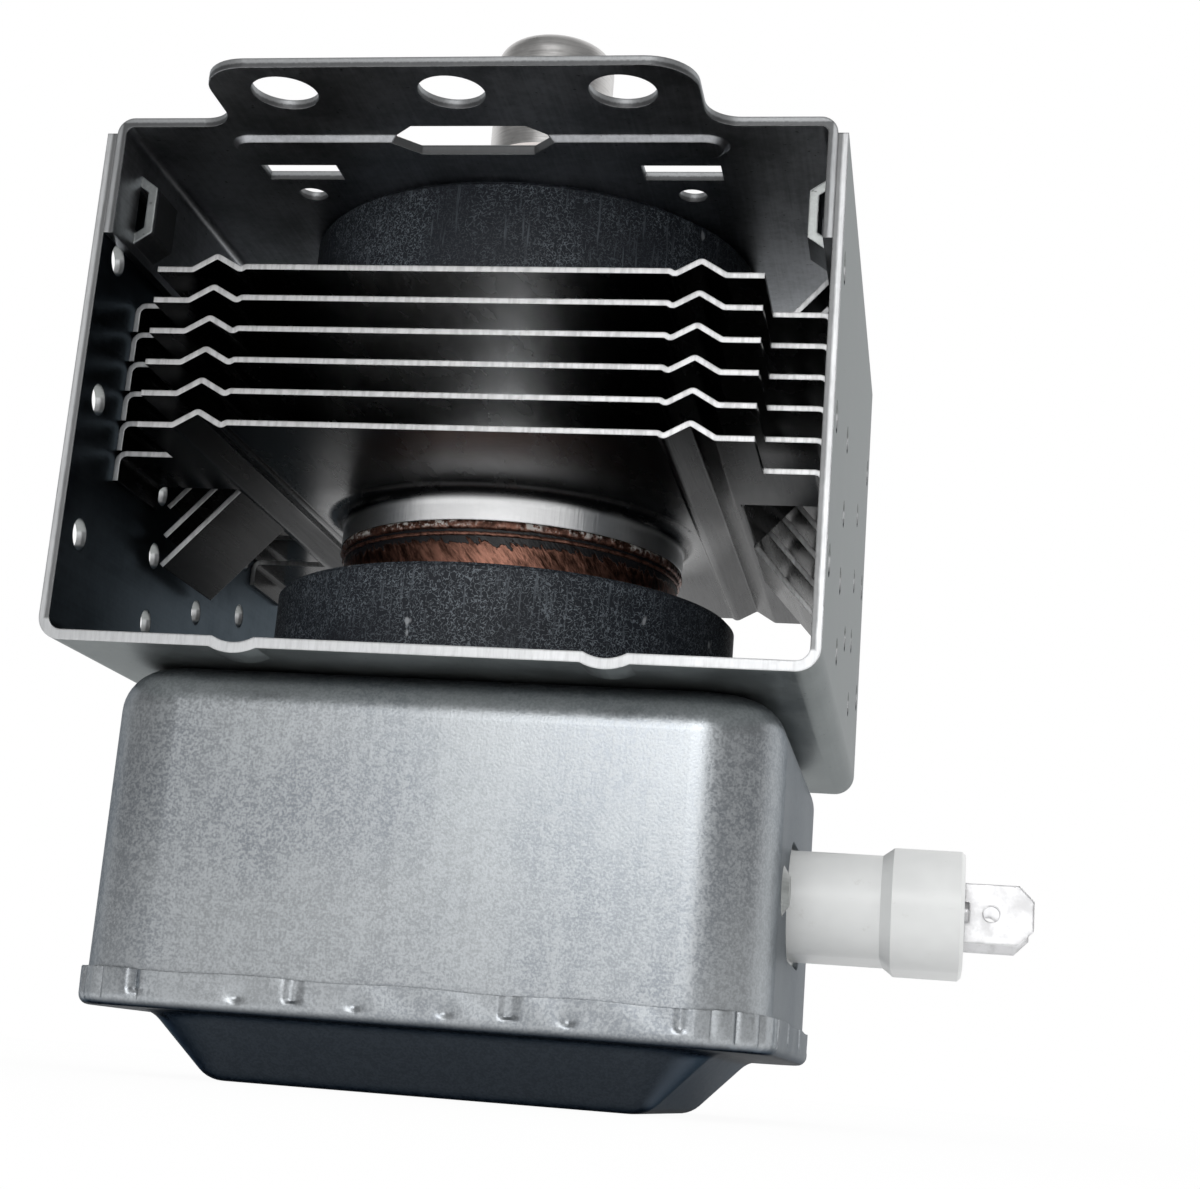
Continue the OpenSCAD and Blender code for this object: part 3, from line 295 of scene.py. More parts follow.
def off_middle(skin, letter):
    """Distance from the middle plane across X or Y, in millimetres."""
    return skin.size_of(skin.axis(letter))


def towards_middle(skin):
    """1 on walls that face the yoke's middle plane, where the normal runs against X."""
    against = skin.times(skin.axis("X"), skin.facing("X", signed=True))
    return skin.ramp(against, -20.0, -8.0, 1.0, 0.0)


def bracket_edges(skin):
    """Front and rear edges of the folded strip, and the tops of its walls."""
    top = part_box("yoke_bracket")[1].z / MM
    on_top = skin.ramp(skin.axis("Z"), top - 0.2, top - 0.1)
    upward = skin.ramp(skin.facing("Z"), 0.85, 0.95)
    return skin.either(skin.ramp(skin.facing("Y"), 0.85, 0.95), skin.times(on_top, upward))


def bracket_inside(skin):
    """Inner faces of the folded strip's walls and floor, which take a painted shade."""
    return skin.either(towards_middle(skin), skin.ramp(skin.facing("Z", signed=True), 0.3, 0.7))


def bracket_depth(skin):
    """Depth under the strip's outer sides and its bottom, which lies on the filter box."""
    under = skin.sum(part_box("yoke_bracket")[1].x / MM, off_middle(skin, "X"), operation="SUBTRACT")
    over = skin.sum(skin.axis("Z"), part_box("filter_box")[1].z / MM, operation="SUBTRACT")
    return skin.times(skin.sum(under, over, operation="MINIMUM"), 1 / BRACKET_SHEET)


def plate_edges(skin):
    """Rim, holes and slots of the flat plate, and the ends of its legs, but not the pressed beads."""
    leg_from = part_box("yoke_top_plate")[1].x / MM - LEG_WIDTH
    inward = skin.ramp(off_middle(skin, "X"), leg_from, leg_from + 0.2, 1.0, 0.0)
    level = skin.times(skin.ramp(skin.facing("Z"), 0.25, 0.4, 1.0, 0.0), inward)
    from_bead = skin.size_of(skin.sum(off_middle(skin, "Y"), BEAD_Y, operation="SUBTRACT"))
    off_bead = skin.ramp(from_bead, BEAD_HALF, BEAD_HALF + 0.2)
    in_slot = skin.ramp(off_middle(skin, "X"), KEY_SLOT_HALF, KEY_SLOT_HALF + 0.2, 1.0, 0.0)
    upright = skin.either(level, skin.ramp(skin.facing("Y"), 0.9, 0.96))
    return skin.times(upright, skin.either(off_bead, in_slot))


def plate_inside(skin):
    """Underside of the flat plate and the inner faces of its legs, which take a painted lighter tone."""
    return skin.either(towards_middle(skin), skin.ramp(skin.facing("Z", signed=True), -0.7, -0.3, 1.0, 0.0))


def plate_depth(skin):
    """Depth under the plate's outer face and the legs' outer sides."""
    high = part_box("yoke_top_plate")[1]
    under = skin.sum(high.x / MM, off_middle(skin, "X"), operation="SUBTRACT")
    below = skin.sum(high.z / MM, skin.axis("Z"), operation="SUBTRACT")
    return skin.times(skin.sum(under, below, operation="MINIMUM"), 1 / PLATE_SHEET)


BRACKET = (bracket_edges, bracket_inside, bracket_depth)
PLATE = (plate_edges, plate_inside, plate_depth)


def fin_sheet(name, colours):
    """Rolled aluminium: faces brushed along the air's way and painted dark as shade, with a painted sheen in
    the middle and round the collars, and bright collars and cut edges.
    """
    skin = Finish(name)
    skin.round_edges(0.2)
    lines = skin.noise(1.0, skin.stretch(5.0, 0.12, 5.0), detail=4.0, roughness=0.6)
    rub = skin.noise(1.0, skin.stretch(0.35, 0.12, 0.8), detail=3.0)
    specks = skin.ramp(skin.noise(1.3, detail=1.0), 0.74, 0.80)
    level = skin.ramp(lines, 0.3, 0.7)
    # Painted shade: the flat faces take the darkened fin tone
    flat = skin.mix(level, shade(colours.fin_face_painted_shade, 0.75), shade(colours.fin_face_painted_shade, 1.1))
    # Painted highlight: the middle of the sheet and a ring round the collar keep the bright metal, placed to
    # catch the lamp; drawing the collar also burnishes the sheet round it
    reach = skin.node("ShaderNodeVectorMath", {0: skin.stretch(1, 1, 0)}, operation="LENGTH").outputs["Value"]
    wear_and_sheen = skin.either(skin.ramp(off_middle(skin, "X"), *SHEEN_MIDDLE_FADES, 0.95, 0.0),
                         skin.ramp(reach, *SHEEN_COLLAR_FADES, 0.85, 0.0))
    # Painted shade: the lowest fin keeps less of that sheen than the others
    wear_and_sheen = skin.times(wear_and_sheen, skin.ramp(skin.axis("Z"), LOWEST_FIN, LOWEST_FIN + 1.0, 0.3, 1.0))
    # Painted shade: a bent louver or ridge is darker, for the shade on its slope
    bent_shade = skin.ramp(skin.facing("Z"), 0.78, 0.96, 0.35, 1.0)
    flat = skin.mix(skin.times(wear_and_sheen, bent_shade), skin.mix(bent_shade, (0.0, 0.0, 0.0), flat), colours.fin)
    away = skin.ramp(reach, BEND_ENDS, BEND_ENDS + 1.0)
    collar = skin.ramp(skin.either(away, skin.facing("Z")), 0.15, 0.5, 1.0, 0.0)
    drawn = skin.mix(skin.ramp(rub, 0.3, 0.7), shade(colours.fin, 0.92), colours.fin)
    face = skin.mix(skin.times(specks, 0.4), flat, shade(colours.fin_face_painted_shade, 0.4))
    face = skin.mix(collar, face, drawn)
    cut = skin.times(skin.ramp(skin.facing("Y"), 0.86, 0.95), away)
    shear = skin.noise(1.0, skin.stretch(2.2, 2.2, 0.4), detail=3.0)
    edge = skin.mix(skin.ramp(shear, 0.35, 0.6), shade(colours.fin, 0.50), shade(colours.fin, 0.65))
    rough = skin.sum(skin.ramp(rub, 0.3, 0.7, 0.25, 0.28), skin.times(cut, 0.15), skin.times(collar, 0.12))
    brushed = skin.mix(collar, lines, (0.5, 0.5, 0.5))
    streaks = skin.times(skin.noise(1.0, skin.stretch(3.0, 3.0, 0.12), detail=3.0), collar)
    normal = skin.relief((brushed, 0.008), (skin.times(shear, cut), 0.012), (streaks, 0.03))
    # A collar that is pressed over the next one flares, and the lowest narrows
    height = skin.axis("Z")
    taper = skin.ramp(height, LOWEST_FIN - 0.3, LOWEST_FIN, COLLAR_NARROWS * MM, -COLLAR_FLARES * MM)
    sockets = {"Height": height, "Distance": taper, "Strength": collar, "Normal": normal}
    normal = skin.node("ShaderNodeBump", sockets).outputs["Normal"]
    # Only the faces with the painted sheen and the collars shine at a flat angle, and the rest is dimmed there
    # as painted shade
    shine = skin.ramp(skin.either(wear_and_sheen, collar), 0.0, 1.0, 0.62, 0.95)
    return skin.done(Base_Color=skin.mix(cut, face, edge), Metallic=1.0, Roughness=rough, Normal=normal,
                     Specular_Tint=shine)


def ferrite(name, colour):
    """Ground sintered ferrite: blue-black, with worm-like pale grain, pits and a few rubbed spots."""
    skin = Finish(name)
    worms = skin.noise(2.4, detail=1.0, roughness=0.4, distortion=0.6)
    thread = skin.ramp(skin.size_of(skin.sum(worms, -0.5)), 0.012, 0.05, 1.0, 0.0)
    patch = skin.noise(0.07, detail=3.0)
    pits = skin.ramp(skin.noise(0.9, detail=2.0), 0.66, 0.74)
    wear_and_sheen = skin.ramp(skin.noise(0.5, skin.stretch(1, 1, 0.5), detail=2.0), 0.71, 0.77)
    streaks = skin.ramp(skin.noise(1.0, skin.stretch(2.5, 2.5, 0.2), detail=3.0), 0.56, 0.74, 0.0, 0.5)
    grain = skin.either(skin.times(thread, skin.ramp(patch, 0.34, 0.56, 0.2, 1.0)), streaks)
    body = skin.mix(grain, shade(colour, 0.75), (0.13, 0.15, 0.17))
    body = skin.mix(skin.times(pits, 0.6), body, shade(colour, 0.4))
    body = skin.mix(skin.times(wear_and_sheen, 0.7), body, (0.42, 0.44, 0.46))
    rough = skin.ramp(grain, 0.0, 1.0, 0.62, 0.48)
    normal = skin.relief((worms, 0.04), (pits, 0.03))
    return skin.done(Base_Color=body, Metallic=0.0, Roughness=rough, Normal=normal, Specular_IOR_Level=0.3)


def torn_copper(name, colour, coat_colour):
    """Copper tube whose dark coating is torn away below a ragged line."""
    skin = Finish(name)
    leant = skin.stretch(1.4, 1.4, 0.28, lean=math.radians(40.0))
    strokes = skin.noise(1.0, leant, detail=4.0, roughness=0.65)
    flakes = skin.noise(0.8, detail=4.0, roughness=0.7)
    bare = skin.mix(skin.ramp(strokes, 0.34, 0.66), shade(colour, 0.25), shade(colour, 1.15))
    torn_line = skin.sum(skin.axis("Z"), skin.times(strokes, 3.6), flakes)
    coat = skin.either(skin.ramp(torn_line, TORN_LINE - 0.1, TORN_LINE + 0.1), skin.ramp(flakes, 0.66, 0.69))
    rough = skin.ramp(strokes, 0.3, 0.7, 0.30, 0.44)
    normal = skin.relief((strokes, 0.16), (coat, 0.10))
    metal = skin.sum(1.0, coat, operation="SUBTRACT")
    return skin.done(Base_Color=skin.mix(coat, bare, coat_colour), Metallic=metal, Roughness=rough,
                     Normal=normal)


def braze_metal(name, colour, flux_colour):
    """Lumpy braze: dull red-brown copper with pale flux that clings to its upper lumps."""
    skin = Finish(name)
    lumps = skin.noise(1.3, detail=4.0, roughness=0.65)
    clumps = skin.noise(0.4, detail=3.0)
    top, foot, _ = BRAZE_RINGS["braze_bead"]
    upper = skin.ramp(skin.axis("Z"), foot, (top + foot) / 2)
    flux = skin.times(skin.ramp(lumps, 0.48, 0.55), skin.ramp(clumps, 0.40, 0.54), upper)
    body = skin.mix(skin.ramp(lumps, 0.35, 0.6), shade(colour, 0.3), shade(colour, 0.95))
    metal = skin.sum(0.85, skin.times(flux, 0.75), operation="SUBTRACT")
    return skin.done(Base_Color=skin.mix(flux, body, flux_colour), Metallic=metal, Roughness=0.42,
                     Normal=skin.relief((lumps, 0.12)))


def plain_metal(name, colour, low=0.28, high=0.45, lines=(0.2, 0.2, 4.0), edges=None):
    """Drawn or turned metal: a clouded tone with fine lines drawn out along the axes given small factors."""
    skin = Finish(name)
    if edges:
        skin.round_edges(edges)
    fine = skin.noise(1.0, skin.stretch(*lines), detail=4.0, roughness=0.65)
    cloud = skin.noise(0.25, detail=4.0)
    tone = skin.sum(skin.times(fine, 0.5), skin.times(cloud, 0.5))
    face = skin.mix(skin.ramp(tone, 0.35, 0.65), shade(colour, 0.72), shade(colour, 1.1))
    rough = skin.ramp(tone, 0.3, 0.7, low, high)
    return skin.done(Base_Color=face, Metallic=1.0, Roughness=rough, Normal=skin.relief((fine, 0.01)))


def spangled_steel(name, colour, deep_colour, pan_painted_shade=None):
    """Hot-dip coated sheet: fine crystal grain, darker in wide patches, with draw marks down the sides.

    With a pan shade, the sheet below the lid's hem takes that dark tone, which is painted shade on the same
    steel.
    """
    skin = Finish(name)
    skin.round_edges(0.2)
    grain = skin.noise(3.6, detail=2.0, roughness=0.6)
    crystals = skin.grains(1.8)
    patch = skin.noise(0.045, detail=3.0, roughness=0.5)
    draw = skin.noise(1.0, skin.stretch(0.8, 0.8, 0.03), detail=3.0)
    tone = skin.sum(skin.times(grain, 0.70), skin.times(crystals, 0.12), skin.times(draw, 0.18))
    speckle = skin.ramp(tone, 0.38, 0.62)
    calm = skin.mix(speckle, shade(colour, 0.86), shade(colour, 1.06))
    rich = skin.mix(speckle, deep_colour, colour)
    face = skin.mix(skin.ramp(patch, 0.38, 0.62), calm, rich)
    if pan_painted_shade:
        pan = skin.mix(speckle, shade(pan_painted_shade, 0.85), shade(pan_painted_shade, 1.1))
        # Painted light: the pan's ends, whose faces turn towards X, are lighter
        pan = skin.mix(skin.ramp(skin.facing("X"), 0.4, 0.65), pan, shade(pan_painted_shade, 2.6))
        # Painted shade: below the hem's foot the pan takes the dark tone
        hem_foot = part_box("filter_box")[0].z / MM
        face = skin.mix(skin.ramp(skin.axis("Z"), hem_foot - 0.5, hem_foot + 0.3), pan, face)
    rough = skin.ramp(tone, 0.3, 0.7, 0.29, 0.40)
    normal = skin.relief((grain, 0.012), (draw, 0.008))
    return skin.done(Base_Color=face, Metallic=1.0, Roughness=rough, Normal=normal,
                     Specular_Tint=FLAT_ANGLE_SHADE_SPANGLE)


def fired_ceramic(name, colour):
    """Unglazed ceramic: chalky, with faint clouds and a fine grain."""
    skin = Finish(name)
    grain = skin.noise(3.0, detail=3.0)
    cloud = skin.noise(0.3, detail=3.0)
    face = skin.mix(skin.ramp(cloud, 0.35, 0.65), shade(colour, 0.90), colour)
    return skin.done(Base_Color=face, Roughness=skin.ramp(cloud, 0.3, 0.7, 0.50, 0.62),
                     Normal=skin.relief((grain, 0.01)))


def moulded_plastic(name, colour, grime_colour):
    """Moulded plastic: satin, a little clouded, with faint grime and scuffs."""
    skin = Finish(name)
    cloud = skin.noise(0.12, detail=3.0)
    grime = skin.ramp(skin.noise(0.35, detail=5.0, roughness=0.7), 0.60, 0.78)
    scuffs = skin.ramp(skin.noise(1.0, skin.stretch(0.25, 1.6, 1.6), detail=3.0), 0.66, 0.74)
    face = skin.mix(skin.ramp(cloud, 0.35, 0.65), shade(colour, 0.94), colour)
    face = skin.mix(skin.times(grime, 0.35), face, grime_colour)
    rough = skin.sum(skin.ramp(cloud, 0.3, 0.7, 0.32, 0.40), skin.times(scuffs, 0.12))
    normal = skin.relief((cloud, 0.05), (scuffs, 0.01))
    return skin.done(Base_Color=face, Roughness=rough, Normal=normal)


def grid_piece(name, points, material, replaced=None, ring=False):
    """A piece from rows of points in millimetres: every row closes on itself, and with ring so do the rows.

    Point k of row j joins points k and k + 1 of row j + 1. A row drawn together to one point becomes a pole.
    """
    rows, count = points.shape[:2]
    row, column = np.meshgrid(np.arange(rows if ring else rows - 1), np.arange(count), indexing="ij")
    after, beside = (row + 1) % rows, (column + 1) % count
    faces = np.stack([row * count + column, row * count + beside,
                      after * count + beside, after * count + column], -1)
    mesh = bpy.data.meshes.new(name)
    mesh.from_pydata((points.reshape(-1, 3) * MM).tolist(), [], faces.reshape(-1, 4).tolist())
    shell = bmesh.new()
    shell.from_mesh(mesh)
    bmesh.ops.remove_doubles(shell, verts=shell.verts, dist=WELD)
    bmesh.ops.recalc_face_normals(shell, faces=shell.faces)
    shell.to_mesh(mesh)
    shell.free()
    mesh.polygons.foreach_set("use_smooth", np.ones(len(mesh.polygons), dtype=bool))
    mesh.set_sharp_from_angle(angle=SHARP)
    mesh.materials.append(material)
    piece = bpy.data.objects.new(name, mesh)
    bpy.context.scene.collection.objects.link(piece)
    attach(piece, "root")
    if replaced:
        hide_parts(replaced)


def rounded_path(corners, radius, steps=6):
    """Line through corners, with an arc of one radius at each turn.

    An arc leaves its corner's first leg at radius times the tangent of half the turn. At angle t it has gone
    radius times sin t along that leg, and radius times 1 - cos t to the side.
    """
    corners = np.array(corners, dtype=float)
    legs = np.diff(corners, axis=0)
    legs /= np.linalg.norm(legs, axis=1, keepdims=True)
    parts = [corners[:1]]
    for corner, first, second in zip(corners[1:-1], legs[:-1], legs[1:]):
        turn = math.atan2(first[0] * second[1] - first[1] * second[0], first @ second)
        side = np.sign(turn) * np.array([-first[1], first[0]])
        angles = np.linspace(0.0, abs(turn), steps)
        start = corner - first * radius * math.tan(abs(turn) / 2)
        parts.append(start + radius * (np.outer(np.sin(angles), first) + np.outer(1 - np.cos(angles), side)))
    return np.concatenate(parts + [corners[-1:]])


def filled_in(path, step):
    """The same line with more points, at most one step apart along its length."""
    along = np.concatenate([[0.0], np.cumsum(np.linalg.norm(np.diff(path, axis=0), axis=1))])
    places = np.union1d(along, np.linspace(0.0, along[-1], int(along[-1] / step) + 2))
    return np.stack([np.interp(places, along, path[:, 0]), np.interp(places, along, path[:, 1])], axis=1)


def both_faces(path, sheet):
    """The outer and inner face of a sheet along its middle line: half the sheet to each side of it."""
    way = np.gradient(path, axis=0)
    way /= np.linalg.norm(way, axis=1, keepdims=True)
    out = np.stack([-way[:, 1], way[:, 0]], axis=1) * sheet / 2
    return path + out, path - out


def rim_stations(straight_x, straight_y, corner, step):
    """Stations round a rounded rectangle, counterclockwise from the right side.

    Each has a place on the square of corner centres, from -1 to 1 both ways, and the direction out of the
    rim. Along a side the place runs and the direction stays; round a corner the place stays and the direction
    turns. The other three quarters are the first one's places and directions, turned.
    """
    turn = np.linspace(0.0, math.pi / 2, int(corner * math.pi / 2 / step))[:-1]
    quarter_turn = np.array([[0.0, 1.0], [-1.0, 0.0]])
    places, angles = [], []
    for quarter in range(4):
        straight = straight_x if quarter % 2 else straight_y
        side = np.linspace(-1.0, 1.0, int(2 * straight / step))[:-1]
        place = np.concatenate([np.stack([np.ones_like(side), side], 1), np.ones((len(turn), 2))])
        places.append(place @ np.linalg.matrix_power(quarter_turn, quarter))
        angles.append(np.concatenate([np.zeros_like(side), turn]) + quarter * math.pi / 2)
    return np.concatenate(places), np.concatenate(angles)


def near(distance, width):
    """A bell: 1 at no distance, and falling off over a width."""
    return np.exp(-(distance / width) ** 2)


def step_up(value, soft):
    """0 below zero and 1 above, over a soft edge."""
    return np.clip(value / soft + 0.5, 0.0, 1.0)


def hem_dents(x, y, z, angle, lid, foot):
    """How far the hem's outer face stands in or out, in millimetres.

    Slits sink where the hem is cut, and are narrow beside the corners. Locking dents are sharp bells in wide,
    low ones. Each corner has sharp pleats, which are narrow bells at shares of its turn, with low waves
    between.
    """
    sheet = lid.sheet / MM
    front, side = np.abs(np.sin(angle)) > 0.7, np.abs(np.cos(angle)) > 0.7
    above = step_up(z - foot - SLIT_FOOT, 0.15)
    out = np.zeros_like(z)
    for across, facing, slits in ((x, front, FRONT_SLITS), (y, side, SIDE_SLITS)):
        for place, width in zip(slits, (lid.slit / MM, lid.nick / MM)):
            out -= facing * above * step_up(width / 2 - np.abs(np.abs(across) - place), 0.3) * sheet * 0.6
    for place in DENTS:
        off = np.hypot(np.abs(x) - place, z - foot - DENT_RISE)
        out -= front * (lid.dent / MM) * (0.7 * near(off, 0.45) + 0.3 * near(off, 1.0))
    turned = np.mod(angle, math.pi / 2) / (math.pi / 2)
    for share in PLEATS:
        out -= (lid.pleat / MM) * near(turned - share, 0.02)
    out += 0.10 * np.sin(turned * 9.5 * math.pi) ** 2
    return out + 0.05 * np.sin(0.23 * x + 0.31 * y + 0.8) + 0.03 * np.sin(0.71 * x - 0.53 * y + 0.9 * z)


def lid_surface(lid):
    """Crimped lid as rows of points from its inner middle, over the hem's rim, to its outer middle.

    The section is a sheet that comes down as the hem, turns in as a flange and dips as the pan. A row at
    offset o lies at corner centre + direction * (corner radius + o), and the corner centres are the hem's or
    the pan's. The last rows are drawn together to the middle.
    """
    low, high = (np.array(corner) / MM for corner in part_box("filter_lid"))
    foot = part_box("filter_box")[0].z / MM
    sheet, corner, pan_corner = lid.sheet / MM, lid.corner / MM, lid.pan_corner / MM
    flange, bottom = foot - sheet / 2, low[2] + sheet / 2
    run = (flange - bottom) * math.tan(lid.pan_slope)
    hem = [(-sheet / 2, high[2]), (-sheet / 2, flange), (-HEM_LAP, flange)]
    hem = rounded_path(hem, lid.hem_bend / MM)
    pan = [(PAN_LAP, flange), (0.0, flange), (-run, bottom), (-run - PAN_LAP, bottom)]
    pan = rounded_path(pan, lid.pan_bend / MM)
    rows = []
    for face, (hem_step, pan_step) in enumerate(ROW_STEPS):
        hem_face = both_faces(filled_in(hem, hem_step), sheet)[face]
        pan_face = both_faces(filled_in(pan, pan_step), sheet)[face]
        section = np.concatenate([hem_face, pan_face, np.repeat(pan_face[-1:], 2, axis=0)])
        on_pan = np.concatenate([np.zeros(len(hem_face)), np.ones(len(pan_face) + 2)])
        spread = np.concatenate([np.ones(len(section) - 2), [0.5, 0.0]])
        on_hem = (1 - on_pan) * step_up(section[:, 1] - foot, 0.6) * (1 - face)
        rows.append(np.column_stack([section, on_pan, spread, on_hem]))
    offset, z, on_pan, spread, on_hem = np.concatenate([rows[1][::-1], rows[0]]).T[:, :, None]

    centres = np.array([high[:2] - corner, np.array([lid.pan_width, lid.pan_depth]) / MM / 2 - pan_corner])
    place, angle = rim_stations(*centres[0], corner, RIM_STEP)
    radius = corner + (pan_corner - corner) * on_pan + offset
    centre = centres[0] + (centres[1] - centres[0]) * on_pan[..., None]
    out = np.stack([np.cos(angle), np.sin(angle)], axis=1)
    flat = place * centre + out * radius[..., None]
    z = z + np.zeros(len(angle))
    flat += out * (on_hem * hem_dents(flat[..., 0], flat[..., 1], z, angle, lid, foot))[..., None]
    # The rim isn't quite level
    rim = step_up(z - high[2] + 0.9, 1.6) * (on_pan < 0.5)
    z = z - rim * (0.10 + 0.10 * np.sin(0.37 * flat[..., 0] + 0.29 * flat[..., 1] + 1.3))
    return np.dstack([flat * spread[..., None], z])


def knitted_ring(low, high, loops):
    """Knitted gasket: a ring of rounded square section, with strands that cross each other round it.

    The section is a superellipse, which is sunk between two families of helical ridges.
    """
    around = np.linspace(0.0, 2 * math.pi, 12 * loops, endpoint=False)[None, :]
    over = np.linspace(0.0, 2 * math.pi, 40, endpoint=False)[:, None]
    strands = np.maximum(np.abs(np.sin(loops * around + 4 * over)), np.abs(np.sin(loops * around - 4 * over)))
    swell = 1.0 - 0.16 * (1.0 - strands) ** 0.7
    round_x = np.sign(np.cos(over)) * np.abs(np.cos(over)) ** 0.6
    round_z = np.sign(np.sin(over)) * np.abs(np.sin(over)) ** 0.6
    inner, outer = GASKET_BORE, high[0]
    reach = (inner + outer) / 2 + (outer - inner) / 2 * round_x * swell
    rise = (low[2] + high[2]) / 2 + (high[2] - low[2]) / 2 * round_z * swell
    return np.dstack([reach * np.cos(around), reach * np.sin(around), rise])


def braze_bead(radius, top, foot, swell):
    """Braze round the anode at the collar's foot: a flat ring that waves of unlike length swell all round.

    The section is a superellipse, whose reach and rise grow with the sum of the waves.
    """
    around = np.linspace(0.0, 2 * math.pi, 600, endpoint=False)[None, :]
    over = np.linspace(0.0, 2 * math.pi, 20, endpoint=False)[:, None]
    lumps = sum(np.sin(count * around + turns * over + phase) / size
                for count, turns, phase, size in BRAZE_WAVES)
    reach = radius + swell / 3 + swell * (1 + 0.24 * lumps) * np.cos(over)
    round_z = np.sign(np.sin(over)) * np.abs(np.sin(over)) ** 0.7
    rise = (top + foot) / 2 + (top - foot) / 2 * round_z * (1 + 0.08 * lumps)
    return np.dstack([reach * np.cos(around), reach * np.sin(around), rise])


def number_of(name, default, words, **kind):
    """A number that a user may change, with its limits, subtype and unit."""
    return bpy.props.FloatProperty(name=name, description=words, default=default, **kind)


def length_of(name, millimetres, words):
    """A length that a user may change."""
    return number_of(name, millimetres * MM, words, min=0.0, precision=5, subtype="DISTANCE", unit="LENGTH")


def vector_of(name, default, words, **kind):
    """A row of numbers that a user may change, with its limits, subtype and unit."""
    size = len(default)
    return bpy.props.FloatVectorProperty(name=name, description=words, default=default, size=size, **kind)


def place_of(name, default, words):
    """A place that a user may change, in metres."""
    return vector_of(name, default, words, subtype="TRANSLATION", unit="LENGTH")


def colour_of(name, default, words):
    """A colour that a user may change, in linear light."""
    return vector_of(name, default, words, subtype="COLOR", min=0.0, max=1.0)


class MetalColours(bpy.types.PropertyGroup):
    """Colours of the metals that show."""

    zinc: colour_of("Zinc", (0.35, 0.365, 0.36), "Outer face of the zinc-plated yoke")
    # Painted shade: the bracket's inner faces are the same zinc, darkened for the shade inside the yoke
    inside: colour_of("Bracket, inside", (0.080, 0.094, 0.108), "Dulled faces inside the bracket")
    # Painted light: the plate's underside is the same zinc, given a lighter tone
    under: colour_of("Plate, underside", (0.46, 0.47, 0.49), "Dulled underside of the flange plate")
    cut_edge: colour_of("Bracket edge", (0.70, 0.71, 0.72), "Sheared edges of the bracket")
    plate_edge: colour_of("Plate edge", (0.46, 0.47, 0.48), "Sheared edges of the flange plate")
    fin: colour_of("Fin collar", (0.92, 0.925, 0.93), "Drawn collars and edges of the cooling fins")
    # Painted shade: the fins' faces are bright aluminium, darkened here for shade
    fin_face_painted_shade: colour_of("Fin", (0.095, 0.096, 0.098), "Dulled faces of the cooling fins")
    copper: colour_of("Copper", (0.31, 0.15, 0.108), "Bare copper of the anode")
    coating: colour_of("Coating", (0.010, 0.010, 0.012), "Dark coating that is torn off the anode")
    flux: colour_of("Flux", (0.62, 0.60, 0.57), "Flux left at the collar's foot")
    box: colour_of("Filter box", (0.48, 0.505, 0.525), "Spangled sheet of the filter box")
    box_deep: colour_of("Filter box, dark", (0.33, 0.355, 0.385), "Darker crystals of that sheet")
    # Painted shade: the lid's pan is the same steel as the box, painted dark for shade
    lid: colour_of("Lid", (0.055, 0.066, 0.080), "Sheet of the filter box's lid")
    gasket: colour_of("Gasket", (0.60, 0.55, 0.42), "Wire of the knitted gasket")
    cap: colour_of("Cap", (0.66, 0.65, 0.64), "Drawn cap over the antenna")
    tin: colour_of("Tin", (0.76, 0.76, 0.77), "Tinned tabs")
    iron: colour_of("Iron", (0.36, 0.36, 0.37), "Pole pieces")
    seal: colour_of("Sealing alloy", (0.58, 0.58, 0.58), "Cups between copper and ceramic")
    tungsten: colour_of("Tungsten", (0.26, 0.26, 0.27), "Filament, its end hats and its leads")
    enamel: colour_of("Enamelled wire", (0.42, 0.13, 0.05), "Wire of the chokes")


class OtherColours(bpy.types.PropertyGroup):
    """Colours of ceramic, ferrite and plastic."""

    ferrite: colour_of("Ferrite", (0.017, 0.021, 0.029), "Ring magnets")
    ceramic: colour_of("Ceramic", (0.80, 0.74, 0.71), "Antenna ring and stem")
    insulator: colour_of("Insulator", (0.78, 0.79, 0.785), "Terminal insulator")
    grime: colour_of("Grime", (0.42, 0.40, 0.35), "Grime on the insulator")
    capacitor: colour_of("Capacitor", (0.08, 0.15, 0.26), "Capacitor case")


class LidShape(bpy.types.PropertyGroup):
    """Sizes of the crimped lid that its box doesn't give."""

    sheet: length_of("Sheet", 0.6, "Thickness of the lid's sheet")
    corner: length_of("Hem corner", 9.65, "Radius of the hem's corners")
    hem_bend: length_of("Hem bend", 0.8, "Radius of the bend at the hem's foot, in the middle of the sheet")
    pan_width: length_of("Pan width", 60.0, "Width of the pan at the flange")
    pan_depth: length_of("Pan depth", 56.0, "Depth of the pan at the flange, from front to rear")
    pan_corner: length_of("Pan corner", 9.0, "Radius of the pan's corners at the flange")
    pan_bend: length_of("Pan bend", 3.4, "Radius of the bends at the pan's mouth and bottom")
    pan_slope: number_of("Pan slope", math.radians(45.0), "Angle of the pan's sides to the vertical",
                         subtype="ANGLE", unit="ROTATION")
    slit: length_of("Slit", 1.5, "Width of the hem's slits")
    nick: length_of("Narrow slit", 0.7, "Width of the narrow slits beside the hem's corners")
    dent: length_of("Dent", 0.42, "Depth of the dents that lock the hem")
    pleat: length_of("Pleat", 0.42, "Depth of the pleats at the hem's corners")


